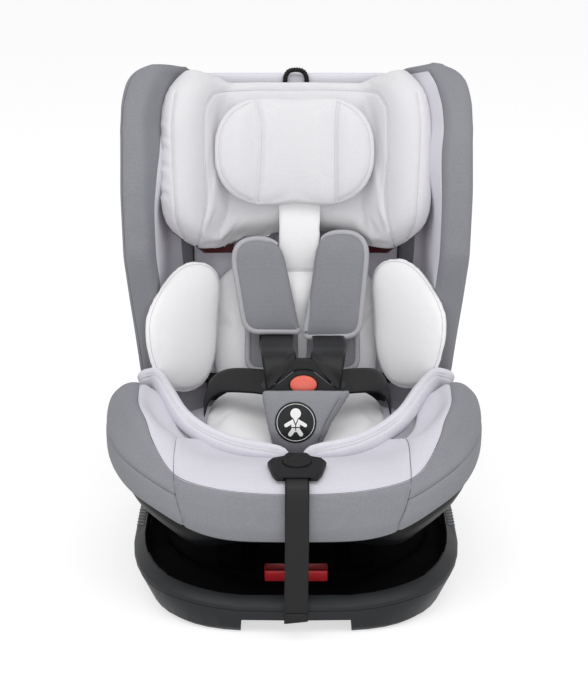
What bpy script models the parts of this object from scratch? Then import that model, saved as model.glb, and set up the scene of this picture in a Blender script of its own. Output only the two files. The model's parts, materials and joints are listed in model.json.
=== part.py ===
"""Rotating convertible child car seat: a low base with rear anchor arms, a turntable with curved
recline rails, a padded bucket seat with a five-point harness, and a sliding headrest.
Metres, +Z up, the occupant faces -Y, and the origin is on the floor under the swivel axis."""

import math

import bmesh
import bpy
from mathutils import Matrix, Vector

# Base: a low tub, rounder than a rectangle in plan, its rim rising from front to back
BASE_HALF_WIDTH = 0.206
BASE_HALF_DEPTH = 0.248
BASE_SQUARE = 3.7
RIM_FRONT = 0.0305
RIM_BACK = 0.0660
SEAM_DROP = 0.008
BASE_SIDES = 48
FLOOR_THICK = 0.003
BASIN_FLOOR = 0.0240
BASIN_THICK = 0.003
NOTCH_HALF_WIDTH = 0.066
NOTCH_HEIGHT = 0.0145
VENT_COUNT = 5
VENT_PITCH = 0.011

# Swivel
HUB_HOLE_RADIUS = 0.056
HUB_RADIUS = 0.052
TABLE_RADIUS = 0.170
TABLE_BOTTOM = 0.0265
TABLE_TOP = 0.0360
LOCK_RADIUS = 0.125

# Recline: rails and shoes are arcs about one sideways axis high above the turntable
RECLINE_HEIGHT = 0.620
RAIL_RADIUS = 0.548
RAIL_SPACING = 0.083
RAIL_HALF_LENGTH = 0.135
SHOE_START = 0.005
SHOE_END = 0.125
SHELL_RADIUS = 0.5385

# Rear anchor arms, at the standard spacing of the bars in a car
ANCHOR_SPACING = 0.280
ANCHOR_TIP = 0.262
BAR_GAP = 0.0085

# Seat bowl and its cover
BOWL_HALF_WIDTH = 0.205
BOWL_FRONT = 0.198
BOWL_BACK = 0.205
BOWL_CENTRE = -0.040
BOWL_SQUARE = 3.2
BOWL_WALL = 0.004
COVER_HALF_WIDTH = 0.2295
COVER_FRONT = 0.197
COVER_CENTRE = -0.060
COVER_SQUARE = 2.8
COVER_TAIL = 0.125

# Back: a plane leaning back, measured from its foot in the seat
BACK_LEAN = math.radians(14)
BACK_FOOT = Vector((0.0, 0.118, 0.200))
BACK_TOP = 0.394
SHELL_FRONT = -0.016
SHELL_WALL = 0.004
WING_CORNER = 0.050
WING_LEAN = math.radians(7)
FOAM_DEPTH = 0.0235
COVER_DEPTH = 0.030
COVER_SKIN = 0.0100
FIT = 0.0006

# Headrest
HEAD_BACK = 0.0092
HEAD_HALF_FLAT = 0.077
HEAD_CORNER = 0.050
HEAD_LEAN = math.radians(30)
HEAD_BOTTOM = 0.162
HEAD_TOP = 0.393
HEAD_WALL = 0.004
SLOT_HALF_WIDTH = 0.020
SLOT_BOTTOM = 0.215
SLOT_TOP = 0.3835

# Harness
WEB_WIDTH = 0.038
WEB_THICK = 0.0016
TAIL_WIDTH = 0.028
SLOT_X = 0.056
SLOT_UP = 0.178
NECK_WIDTH = 0.052
CROTCH_LEAN = math.radians(18)
CROTCH_FOOT = Vector((0.009, -0.122, 0.196))


def ease(value, start, end):
    part = min(1.0, max(0.0, (value - start) / (end - start)))
    return part * part * (3 - 2 * part)


def between(pairs, value):
    """The value on the line through a few (place, value) pairs."""
    for (low, first), (high, second) in zip(pairs, pairs[1:]):
        if value <= high:
            part = min(1.0, max(0.0, (value - low) / (high - low)))
            return first + (second - first) * part
    return pairs[-1][1]


def power(value, exponent):
    return math.copysign(abs(value) ** exponent, value)


def around(count):
    return [2 * math.pi * step / count for step in range(count)]


def loft(rings, loop=False):
    """A closed solid through rings of points. A ring of one point is a pole; other ends are capped."""
    form = bmesh.new()
    rows = [[form.verts.new(point) for point in ring] for ring in rings]
    for first, second in zip(rows, rows[1:] + (rows[:1] if loop else [])):
        count = max(len(first), len(second))
        for step in range(count):
            after = (step + 1) % count
            if len(first) == 1:
                form.faces.new((first[0], second[after], second[step]))
            elif len(second) == 1:
                form.faces.new((first[step], first[after], second[0]))
            else:
                form.faces.new((first[step], first[after], second[after], second[step]))
    if not loop:
        for row in (rows[0], rows[-1]):
            if len(row) > 2:
                form.faces.new(row)
    return form


def prism(outline, place, low, high):
    """An outline of (u, v) points pushed from w = low to w = high."""
    return loft([[place(u, v, low) for u, v in outline], [place(u, v, high) for u, v in outline]])


def block(low, high, radius=0.0, segments=2):
    form = bmesh.new()
    bmesh.ops.create_cube(form, size=1.0)
    for vert in form.verts:
        vert.co = Vector((a + (b - a) * (c + 0.5) for a, b, c in zip(low, high, vert.co)))
    if radius:
        bmesh.ops.bevel(form, geom=form.edges[:], offset=radius, segments=segments,
                        affect="EDGES", profile=0.5)
    return form


def turned(profile, sides=32, loop=False):
    """A solid turned about the Z axis from (radius, height) points; radius 0 is a pole."""
    rings = []
    for radius, height in profile:
        if radius == 0:
            rings.append([Vector((0, 0, height))])
        else:
            rings.append([Vector((radius * math.sin(a), -radius * math.cos(a), height))
                          for a in around(sides)])
    return loft(rings, loop)


def round_hole(x, y, radius, low, high):
    hole = turned([(radius, low), (radius, high)], 16)
    place = Matrix.Translation((x, y, 0)) @ Matrix.Rotation(0.1, 4, "Z")
    bmesh.ops.transform(hole, matrix=place, verts=hole.verts)
    return hole


def smooth_path(points, steps):
    """Points read along a smooth curve through the given ones."""
    points = [Vector(point) for point in points]
    ends = [2 * points[0] - points[1]] + points + [2 * points[-1] - points[-2]]
    path = []
    for a, b, c, d in zip(ends, ends[1:], ends[2:], ends[3:]):
        for step in range(steps):
            t = step / steps
            path.append(0.5 * (2 * b + (c - a) * t + (2 * a - 5 * b + 4 * c - d) * t ** 2
                               + (3 * b - a - 3 * c + d) * t ** 3))
    return path + [points[-1]]


def frames_along(path, across):
    for step, point in enumerate(path):
        along = (path[min(step + 1, len(path) - 1)] - path[max(step - 1, 0)]).normalized()
        side = (across - along * across.dot(along)).normalized()
        yield point, side, along.cross(side)


def ribbon(points, width, across, steps=4, thick=WEB_THICK, hem=0.0):
    """Webbing along a route. With a hem, the last stretch is folded over and so is thicker."""
    path = smooth_path(points, steps)
    rings = []
    for step, (point, side, face) in enumerate(frames_along(path, Vector(across))):
        half = side * width / 2
        depth = face * (thick + (hem if step >= len(path) - 2 else 0)) / 2
        rings.append([point - half - depth, point + half - depth,
                      point + half + depth, point - half + depth])
    return loft(rings)


def tube(points, radius, across, sides=10, steps=4, flat=1.0):
    """A tube along a route. radius is a size, or a function of the fraction along the route."""
    path = smooth_path(points, steps)
    rings = []
    for step, (point, side, face) in enumerate(frames_along(path, Vector(across))):
        size = radius(step / (len(path) - 1)) if callable(radius) else radius
        rings.append([point + side * size * math.cos(a) + face * size * flat * math.sin(a)
                      for a in around(sides)])
    return loft(rings)


def cushion(place, half_width, half_height, front, back, square=2.6, edge=0.55, sides=24, rows=4):
    """A crowned pad: place(u, v, w) sets it in the seat, u and v in its plane and w out of it."""
    rings = []
    for row in range(-rows, rows + 1):
        lift = math.sin(row / rows * math.pi / 2)
        spread = math.cos(row / rows * math.pi / 2) ** edge if abs(row) < rows else 0.0
        depth = lift * (front if lift > 0 else back)
        if spread == 0.0:
            rings.append([place(0.0, 0.0, depth)])
            continue
        rings.append([place(half_width * spread * power(math.cos(a), 2 / square),
                            half_height * spread * power(math.sin(a), 2 / square), depth)
                      for a in around(sides)])
    return loft(rings)


def flat_place(u, v, w):
    return Vector((u, v, w))


def side_place(u, v, w):
    """For an outline drawn in a side view: w is the distance sideways."""
    return Vector((w, u, v))


def finish(name, colour, roughness, metallic=0.0):
    made = bpy.data.materials.new(name)
    made.use_nodes = True
    shader = made.node_tree.nodes["Principled BSDF"]
    shader.inputs["Base Color"].default_value = (*colour, 1.0)
    shader.inputs["Roughness"].default_value = roughness
    shader.inputs["Metallic"].default_value = metallic
    return made


def carrier(name, parent=None, frame=Matrix()):
    """An empty that a body's pieces hang on, set on that body's joint axis."""
    empty = bpy.data.objects.new(name, None)
    bpy.context.scene.collection.objects.link(empty)
    empty.parent = parent
    bpy.context.view_layer.update()
    empty.matrix_world = frame
    bpy.context.view_layer.update()
    return empty


def add(name, form, coat, parent, frame=Matrix()):
    """One named sub-part. frame takes the mesh's own coordinates to the world's."""
    bmesh.ops.recalc_face_normals(form, faces=form.faces[:])
    mesh = bpy.data.meshes.new(name)
    form.to_mesh(mesh)
    form.free()
    mesh.materials.append(coat)
    mesh.shade_smooth()
    mesh.set_sharp_from_angle(angle=math.radians(38))
    piece = bpy.data.objects.new(name, mesh)
    bpy.context.scene.collection.objects.link(piece)
    piece.parent = parent
    piece.matrix_parent_inverse = parent.matrix_world.inverted()
    piece.matrix_basis = frame
    return piece


def shape_with(piece, form, operation):
    """Cuts another form out of a piece, or joins it on."""
    tool = add(f"{piece.name}_tool", form, piece.data.materials[0], piece.parent, piece.matrix_basis)
    tool.hide_render = True
    tool.display_type = "WIRE"
    modifier = piece.modifiers.new(operation.lower(), "BOOLEAN")
    modifier.operation = operation
    modifier.solver = "EXACT"
    modifier.object = tool


def cut(piece, form):
    shape_with(piece, form, "DIFFERENCE")


def join(piece, form):
    shape_with(piece, form, "UNION")


# Base

def base_plan(angle, inset, tuck=0.0):
    x = (BASE_HALF_WIDTH - inset - tuck) * power(math.sin(angle), 2 / BASE_SQUARE)
    y = -(BASE_HALF_DEPTH - inset) * power(math.cos(angle), 2 / BASE_SQUARE)
    return x, y


def rim_height(angle):
    part = (base_plan(angle, 0.0)[1] / BASE_HALF_DEPTH + 1) / 2
    return RIM_FRONT + (RIM_BACK - RIM_FRONT) * part


def base_ring(inset, height, from_rim=False, tuck=0.0):
    """A ring of the base. tuck draws its two sides in, as the walls lean in towards the floor."""
    return [Vector((*base_plan(a, inset, tuck), height + (rim_height(a) if from_rim else 0)))
            for a in around(BASE_SIDES)]


def round_ring(radius, height):
    return [Vector((radius * math.sin(a), -radius * math.cos(a), height)) for a in around(BASE_SIDES)]


def anchor_doors(low, high):
    """Cutters for the two openings in the rear wall that the anchor arms come out of."""
    return [block((side * ANCHOR_SPACING / 2 - 0.0185, 0.176, low),
                  (side * ANCHOR_SPACING / 2 + 0.0185, 0.245, high)) for side in (-1, 1)]


def make_base(parent, plastic, nylon):
    lower = add("base_lower_shell", loft([
        [Vector((0, 0, 0))],
        base_ring(0.007, 0.0, tuck=0.020),
        base_ring(0.002, 0.006, tuck=0.016),
        base_ring(0.0, -SEAM_DROP, True),
        base_ring(0.0035, -SEAM_DROP, True),
        base_ring(0.0060, 0.0080, tuck=0.016),
        base_ring(0.0110, FLOOR_THICK, tuck=0.020),
        [Vector((0, 0, FLOOR_THICK))],
    ]), plastic, parent)
    cut(lower, block((-NOTCH_HALF_WIDTH, -0.30, -0.02), (NOTCH_HALF_WIDTH, -0.205, NOTCH_HEIGHT)))
    for door in anchor_doors(0.0035, 0.09):
        cut(lower, door)

    seam = FIT - SEAM_DROP
    upper = add("base_upper_shell", loft([
        base_ring(0.0, seam, True),
        base_ring(0.0005, -0.003, True),
        base_ring(0.003, 0.0, True),
        base_ring(0.0135, 0.0065, True),
        base_ring(0.0155, 0.006, True),
        base_ring(0.0175, BASIN_FLOOR + 0.006),
        base_ring(0.0225, BASIN_FLOOR),
        round_ring(HUB_HOLE_RADIUS, BASIN_FLOOR),
        round_ring(HUB_HOLE_RADIUS, BASIN_FLOOR - BASIN_THICK),
        base_ring(0.0205, BASIN_FLOOR - BASIN_THICK),
        base_ring(0.0145, BASIN_FLOOR + 0.004),
        base_ring(0.0125, 0.0025, True),
        base_ring(0.0045, -0.0035, True),
        base_ring(0.0035, seam, True),
    ], loop=True), plastic, parent)
    for door in anchor_doors(0.0035, 0.0335):
        cut(upper, door)
    for side in (-1, 1):
        for step in range(VENT_COUNT):
            y = (step - 1) * VENT_PITCH
            inner = side * (BASE_HALF_WIDTH - 0.0165)
            low, high = sorted((inner - side * 0.008, inner + side * 0.006))
            cut(upper, block((low, y, 0.0375), (high, y + 0.006, 0.0465)))
    for angle in around(4):
        x, y = LOCK_RADIUS * math.sin(angle), LOCK_RADIUS * math.cos(angle)
        cut(upper, round_hole(x, y, 0.0070, 0.010, 0.030))
    add("swivel_bearing_ring", turned([(0.100, BASIN_FLOOR + 0.0003), (0.115, BASIN_FLOOR + 0.0003),
                                       (0.115, TABLE_BOTTOM - 0.0003), (0.100, TABLE_BOTTOM - 0.0003)],
                                      loop=True), nylon, parent)


def make_anchors(carriages, plastic, steel, red):
    slide = carriages["slide"]
    half = ANCHOR_SPACING / 2
    arms = add("anchor_carriage", block((-half + 0.0125, 0.092, 0.0050), (half - 0.0125, 0.107, 0.0140)),
               steel, slide)
    for side in (-1, 1):
        join(arms, block((side * half - 0.013, 0.030, 0.0045), (side * half + 0.013, 0.1995, 0.0195)))
    middle = 0.0175
    for side, name in ((-1, "left"), (1, "right")):
        x = side * half
        body = block((x - 0.0165, 0.200, 0.0048), (x + 0.0165, ANCHOR_TIP, 0.0318), 0.003)
        head = add(f"anchor_connector_{name}", body, plastic, slide)
        cut(head, block((x - 0.03, ANCHOR_TIP - 0.026, middle - BAR_GAP / 2),
                        (x + 0.03, ANCHOR_TIP + 0.02, middle + BAR_GAP / 2)))
        cut(head, block((x - 0.0035, 0.206, 0.0), (x + 0.0035, ANCHOR_TIP - 0.006, 0.0285)))
        cut(head, block((x - 0.0075, 0.2202, 0.0287), (x + 0.0075, 0.2500, 0.05)))
        hook = [(0.2175, 0.0115), (0.2440, 0.0100), (0.2535, 0.0120), (0.2530, 0.0206),
                (0.2475, 0.0206), (0.2465, 0.0145), (0.2300, 0.0160), (0.2200, 0.0180)]
        add(f"anchor_hook_{name}", prism(hook, side_place, x - 0.0025, x + 0.0025), steel,
            carriages[f"hook_{name}"])
        button = block((x - 0.0065, 0.2300, 0.0292), (x + 0.0065, 0.2485, 0.0335), 0.001)
        add(f"anchor_button_{name}", button, red, carriages[f"button_{name}"])


# Turntable

def arc_height(radius, y):
    """Height of an arc about the recline axis."""
    return RECLINE_HEIGHT - math.sqrt(radius ** 2 - y ** 2)


def along_arc(section, start, end, x, steps=8):
    """A bar bent along the recline arc; the section is (sideways, radius) points."""
    rings = []
    for step in range(steps + 1):
        y = start + (end - start) * step / steps
        rings.append([Vector((x + u, y, arc_height(r, y) if r > 0.2 else r)) for u, r in section])
    return loft(rings)


def mirrored(half_section):
    return half_section + [(-u, r) for u, r in reversed(half_section)]


def make_turntable(parent, handle_parent, pin_parent, bolt_parent, plastic, steel, red):
    table = add("turntable", turned([(TABLE_RADIUS - 0.003, TABLE_TOP), (TABLE_RADIUS, TABLE_TOP - 0.003),
                                     (TABLE_RADIUS, TABLE_BOTTOM), (HUB_RADIUS, TABLE_BOTTOM),
                                     (HUB_RADIUS, 0.008)], 40), plastic, parent)
    cut(table, block((-0.0490, -0.20, 0.02), (0.0490, -0.1050, 0.06)))
    add("swivel_retainer", turned([(0.0525, 0.0130), (0.068, 0.0130), (0.068, 0.0203), (0.0525, 0.0203)],
                                  loop=True), steel, parent)
    flange = mirrored([(0.015, TABLE_TOP + 0.0003), (0.015, RAIL_RADIUS + 0.015),
                       (0.009, RAIL_RADIUS + 0.015), (0.009, RAIL_RADIUS + 0.007),
                       (0.015, RAIL_RADIUS + 0.007), (0.015, RAIL_RADIUS)])
    for side, name in ((-1, "left"), (1, "right")):
        add(f"recline_rail_{name}", along_arc(flange, -RAIL_HALF_LENGTH, RAIL_HALF_LENGTH,
                                              side * RAIL_SPACING, 10), steel, parent)
    box = block((-0.0485, -0.1665, TABLE_BOTTOM), (0.0485, -0.1055, 0.0560), 0.005)
    housing = add("handle_housing", box, plastic, parent)
    cut(housing, block((-0.0420, -0.20, 0.0290), (0.0420, -0.1270, 0.0530), 0.004))
    grip = [(-0.1680, 0.0300), (-0.1310, 0.0300), (-0.1310, 0.0345), (-0.1560, 0.0350),
            (-0.1590, 0.0440), (-0.1680, 0.0450)]
    add("release_handle", prism(grip, side_place, -0.0385, 0.0385), red, handle_parent)

    for name, y, radius, low, high, moved in (
            ("rotation_lock_pin", LOCK_RADIUS, 0.006, TABLE_BOTTOM, 0.058, pin_parent),
            ("recline_bolt", -0.030, 0.007, 0.0300, 0.0732, bolt_parent)):
        cut(table, round_hole(0, y, radius + 0.0008, low - 0.0100, 0.07))
        profile = [(0, high), (radius - 0.0015, high), (radius, high - 0.002), (radius, low + 0.001),
                   (radius - 0.001, low), (0, low)]
        add(name, turned(profile, 16), steel, moved, Matrix.Translation((0, y, 0)))


# Seat

def bowl_plan(angle, scale, inset=0.0):
    depth = BOWL_FRONT if math.cos(angle) > 0 else BOWL_BACK
    x = (BOWL_HALF_WIDTH - inset) * scale * power(math.sin(angle), 2 / BOWL_SQUARE)
    y = BOWL_CENTRE - (depth - inset) * scale * power(math.cos(angle), 2 / BOWL_SQUARE)
    return x, y


def bowl_rim(angle):
    side = abs(math.sin(angle))
    return 0.172 + 0.009 * ease(side, 0.45, 0.95) + (0.024 if math.cos(angle) < 0 else 0) * (1 - side)


def bowl_rings(steps, inset, radius, sides=40):
    """Rings of the bowl from near its middle to its rim; steps are degrees round its rounded wall."""
    rings = []
    for step in steps:
        scale = math.sin(math.radians(step)) ** (2 / 3.4)
        lift = 1 - max(0.0, math.cos(math.radians(step))) ** (2 / 3.4)
        ring = []
        for angle in around(sides):
            x, y = bowl_plan(angle, scale, inset)
            floor = arc_height(radius, y)
            ring.append(Vector((x, y, floor + lift * (bowl_rim(angle) - floor))))
        rings.append(ring)
    return rings


def make_bowl(parent, plastic, steel, foam):
    steps = (12, 28, 44, 58, 70, 80, 90)
    inner_radius = SHELL_RADIUS - BOWL_WALL
    middle = arc_height(SHELL_RADIUS, BOWL_CENTRE)
    add("seat_shell", loft([[Vector((0, BOWL_CENTRE, middle))]] + bowl_rings(steps, 0.0, SHELL_RADIUS)
                           + bowl_rings(steps[::-1], BOWL_WALL, inner_radius)
                           + [[Vector((0, BOWL_CENTRE, middle + BOWL_WALL))]]), plastic, parent)
    fill = bowl_rings(steps[:4], BOWL_WALL + FIT, inner_radius - 0.0012)
    crown = [[Vector((p.x * k, BOWL_CENTRE + (p.y - BOWL_CENTRE) * k, z)) for p in fill[-1]]
             for k, z in ((0.985, 0.152), (0.93, 0.1585), (0.5, 0.1600))]
    lowest = [Vector((0, BOWL_CENTRE, middle + BOWL_WALL + 0.0012))]
    highest = [Vector((0, BOWL_CENTRE, 0.1602))]
    block_of_foam = add("seat_foam", loft([lowest] + fill + crown + [highest]), foam, parent)
    cut(block_of_foam, block((-0.016, -0.1500, 0.100), (0.034, -0.1050, 0.20)))
    channel = mirrored([(0.0195, SHELL_RADIUS + 0.001), (0.0195, RAIL_RADIUS + 0.0135),
                        (0.0105, RAIL_RADIUS + 0.0135), (0.0105, RAIL_RADIUS + 0.0085),
                        (0.0165, RAIL_RADIUS + 0.0085), (0.0165, RAIL_RADIUS - 0.001)])
    for side, name in ((-1, "left"), (1, "right")):
        shoe = along_arc(channel, SHOE_START, SHOE_END, side * RAIL_SPACING)
        add(f"recline_shoe_{name}", shoe, steel, parent)
    plate = mirrored([(0.020, SHELL_RADIUS + 0.001), (0.020, SHELL_RADIUS + 0.006)])
    rack = add("recline_rack", along_arc(plate, -0.050, 0.130, 0.0, 10), steel, parent)
    for step in range(5):
        y = -0.030 + step * 0.034
        cut(rack, block((-0.008, y - 0.008, 0.05), (0.008, y + 0.008, 0.12)))


def cover_path(u):
    """A point of the seat cover's outer edge in plan, from u = -1 at the left tail to 1 at the right,
    with how far round it is from the front, in degrees."""
    side = math.copysign(1.0, u)
    turn = min(abs(u) / 0.7, 1.0) * math.pi / 2
    tail = max(0.0, (abs(u) - 0.7) / 0.3)
    x = side * COVER_HALF_WIDTH * math.sin(turn) ** (2 / COVER_SQUARE) * (1 - 0.02 * tail)
    y = COVER_CENTRE - COVER_FRONT * max(0.0, math.cos(turn)) ** (2 / COVER_SQUARE) + COVER_TAIL * tail
    return Vector((x, y)), math.degrees(turn), tail


def cover_section(u):
    """The cover's closed section: up its outer wall, over its crest, and back along the shell."""
    here, turn, tail = cover_path(u)
    ahead, _, _ = cover_path(min(1.0, u + 0.004))
    behind, _, _ = cover_path(max(-1.0, u - 0.004))
    run = (ahead - behind).normalized()
    inward = Vector((-run.y, run.x))
    hem = 0.120 + 0.020 * ease(turn, 10, 50) + 0.022 * ease(turn, 45, 90)
    seam = 0.188 + 0.042 * ease(turn, 30, 90) - 0.030 * tail
    crest = 0.2015 + 0.0505 * ease(turn, 20, 78) - 0.049 * ease(tail, 0, 0.8)
    deep = 0.074 - 0.022 * ease(turn, 30, 85)
    skirt = 0.004 + 0.026 * ease(turn, 5, 35) * (1 - ease(turn, 70, 88))
    edge = crest - 0.0110 - 0.6 * skirt
    wall = seam - hem
    outline = [(0.0105, hem), (0.0005, hem + 0.3 * wall), (0.0, hem + 0.65 * wall), (0.003, seam - 0.004),
               (0.011, seam + 0.003), (0.36 * deep, crest - 0.0045), (0.62 * deep, crest),
               (0.86 * deep, crest - 0.0050), (deep, crest - 0.0110), (deep + skirt, edge),
               (deep + skirt - 0.003, edge - 0.0080), (0.9 * deep, crest - 0.0190),
               (0.6 * deep, crest - 0.0155), (0.36 * deep, crest - 0.0195), (0.0165, seam - 0.012),
               (0.0150, hem + 0.5 * wall), (0.0185, hem + 0.003)]
    return [Vector((*(here + inward * inset), z)) for inset, z in outline]


def make_seat_cover(parent, fabric):
    stations = 34
    sections = [cover_section(-1 + 2 * step / stations) for step in range(stations + 1)]
    add("seat_cover", loft(sections), fabric, parent)


# Back and its wings

def back_half(up):
    return between([(-0.01, 0.142), (0.03, 0.1445), (0.10, 0.147), (0.32, 0.146), (0.40, 0.133)], up)


def wing_reach(up):
    return between([(-0.01, 0.040), (0.03, 0.054), (0.06, 0.070), (0.10, 0.094), (0.16, 0.136), (0.24, 0.154),
                    (0.31, 0.153), (0.350, 0.142), (0.380, 0.122), (0.400, 0.096)], up)


def thinning(up):
    """How much thinner a wing's padding is near its top, where the headrest slides past."""
    return 0.009 * ease(up, 0.28, 0.36)


def bent_line(centre, radius, lean, reach, start=-90.0):
    """Points round a corner and up a leaning wall to its tip at reach, as (x, out)."""
    rise = min(-math.sin(lean), (reach - 0.002 - centre[1]) / radius)
    end = math.degrees(math.asin(rise))
    points = []
    for step in range(5):
        angle = math.radians(start + (end - start) * step / 4)
        points.append((centre[0] + radius * math.cos(angle), centre[1] + radius * math.sin(angle)))
    x, out = points[-1]
    return points + [(x + (reach - out) * math.tan(lean), reach)]


def wing_line(up, offset, reach, start=-90.0):
    """One layer of a wing at this height, from the back corner to the tip.
    offset is the layer's distance inside the shell's front face."""
    centre = (back_half(up), SHELL_FRONT + WING_CORNER)
    return bent_line(centre, WING_CORNER - offset, WING_LEAN, reach, start)


def both_sides(line, up):
    """A line of (x, out) points for the right, joined to its mirror image, at one height."""
    return [Vector((-x, up, out)) for x, out in reversed(line)] + [Vector((x, up, out)) for x, out in line]


def shell_section(up):
    reach = wing_reach(up)
    front, rear = (both_sides(wing_line(up, -wall, reach), up) for wall in (0.0, SHELL_WALL))
    return front + rear[::-1]


def foot_section(up):
    """The narrow foot of the back shell, which stands in the seat's bowl."""
    front, rear = (bent_line((0.095, SHELL_FRONT + 0.020), 0.020 + wall, WING_LEAN, 0.010)
                   for wall in (0.0, SHELL_WALL))
    return both_sides(front, up) + both_sides(rear, up)[::-1]


def harness_slots(low, high):
    return [block((x - 0.025, SLOT_UP - 0.006, low), (x + 0.025, SLOT_UP + 0.006, high))
            for x in (-SLOT_X, SLOT_X)]


def make_back(parent, frame, plastic, fabric, lining, foam):
    heights = (-0.008, 0.03, 0.06, 0.10, 0.16, 0.22, 0.28, 0.33, 0.36, 0.38, BACK_TOP)
    shell = add("back_shell", loft([foot_section(-0.035), foot_section(-0.0095)]
                                   + [shell_section(up) for up in heights]), plastic, parent, frame)
    slide_slot = ((-SLOT_HALF_WIDTH, SLOT_BOTTOM, -0.04), (SLOT_HALF_WIDTH, SLOT_TOP, 0.02))
    for tool in harness_slots(-0.04, 0.02) + [block(*slide_slot)]:
        cut(shell, tool)

    behind = SHELL_FRONT - SHELL_WALL - FIT
    hooked = [(0.002, 0.0), (0.398, 0.0), (0.4035, -0.004), (0.4035, -0.0215), (0.399, -0.026),
              (0.388, -0.026), (0.388, behind), (BACK_TOP + FIT, behind),
              (BACK_TOP + FIT, SHELL_FRONT + FIT), (0.002, SHELL_FRONT + FIT)]
    panel = add("back_cover", prism(hooked, side_place, -0.136, 0.136), lining, parent, frame)
    for tool in harness_slots(-0.04, 0.02) + [block(*slide_slot)]:
        cut(panel, tool)

    levels = ([(-0.0072, 0.004), (-0.003, 0.0)] + [(up, 0.0) for up in heights[1:-1]]
              + [(0.395, 0.002), (0.404, 0.009)])
    for side, name in ((-1, "left"), (1, "right")):
        foam_rings, cover_rings, hollow_rings = [], [], []
        for up in (-0.005,) + heights[1:]:
            reach = wing_reach(up)
            inner = wing_line(up, FOAM_DEPTH - thinning(up), reach, -70)
            outer = wing_line(up, 3 * FIT, reach, -70)
            foam_rings.append([Vector((side * x, up, out)) for x, out in inner + outer[::-1]])
        for up, shrink in levels:
            reach = wing_reach(up) - shrink
            outside = wing_line(up, shrink - COVER_SKIN, reach + 0.003, -74)
            inside = wing_line(up, COVER_DEPTH - thinning(up) - shrink, reach + 0.003, -74)
            tip = [(outside[-1][0] - 0.006, reach + 0.0105), (inside[-1][0] + 0.006, reach + 0.0105)]
            cover_rings.append([Vector((side * x, up, out)) for x, out in outside + tip + inside[::-1]])
        for up in (-0.03,) + heights[:-1] + (BACK_TOP + FIT,):
            wide = max(up, heights[0])
            outside = wing_line(wide, -SHELL_WALL - FIT, wing_reach(wide) + FIT, -88)
            inside = wing_line(wide, FOAM_DEPTH - thinning(wide) + FIT, wing_reach(wide) + FIT, -88)
            hollow_rings.append([Vector((side * x, up, out)) for x, out in outside + inside[::-1]])
        add(f"wing_foam_{name}", loft(foam_rings), foam, parent, frame)
        cut(add(f"wing_cover_{name}", loft(cover_rings), fabric, parent, frame), loft(hollow_rings))

    def tray(scale, out):
        return [Vector((0.158 * scale * power(math.cos(a), 0.4),
                        0.208 + 0.1755 * scale * power(math.sin(a), 0.4), out)) for a in around(36)]
    add("rear_cover", loft([[Vector((0, 0.208, -0.051))], tray(0.90, -0.048), tray(0.97, -0.043),
                            tray(1.0, -0.034), tray(1.0, -0.0210), tray(0.975, -0.0210),
                            tray(0.975, -0.034), tray(0.945, -0.0412), tray(0.88, -0.0452),
                            [Vector((0, 0.208, -0.048))]]), plastic, parent, frame)


# Headrest

def head_reach(up):
    return between([(HEAD_BOTTOM, 0.042), (0.169, 0.054), (0.185, 0.088), (0.203, 0.104), (0.230, 0.112),
                    (0.330, 0.112), (0.360, 0.101), (0.378, 0.080), (HEAD_TOP, 0.056)], up)


def head_line(up, offset, reach):
    """One layer of the headrest at this height, from the middle of its back to its tip."""
    centre = (HEAD_HALF_FLAT, HEAD_BACK + HEAD_WALL + HEAD_CORNER)
    return bent_line(centre, HEAD_CORNER - offset, HEAD_LEAN, reach)


def head_shell_section(up):
    reach = head_reach(up) - 0.012
    front, rear = (both_sides(head_line(up, -wall, reach), up) for wall in (0.0, HEAD_WALL))
    return front + rear[::-1]


def head_cover_section(up, pad):
    """The pad inside the headrest shell, rolled round the shell's front edges."""
    reach = head_reach(up) - 0.012
    face = head_line(up, pad, reach + 0.010)
    skin = head_line(up, -HEAD_WALL - 0.0045, reach + 0.008)
    lined = head_line(up, 3 * FIT, reach + FIT)
    tip = [(face[-1][0] + 0.35 * (skin[-1][0] - face[-1][0]), reach + 0.022),
           (face[-1][0] + 0.75 * (skin[-1][0] - face[-1][0]), reach + 0.019)]
    deep = min(0.022, 0.6 * (reach - 0.018))
    wrap = [skin[-1], (skin[-1][0] - (deep + 0.008) * math.tan(HEAD_LEAN), reach - deep)]
    under = head_line(up, -HEAD_WALL - 3 * FIT, reach + FIT)[-1]
    tuck = [(under[0] - (deep + FIT) * math.tan(HEAD_LEAN), reach - deep), under]
    return both_sides(face + tip + wrap + tuck + lined[::-1], up)


def ribbed_radius(part):
    return 0.0030 + 0.0006 * (round(part * 24) % 2)


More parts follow.
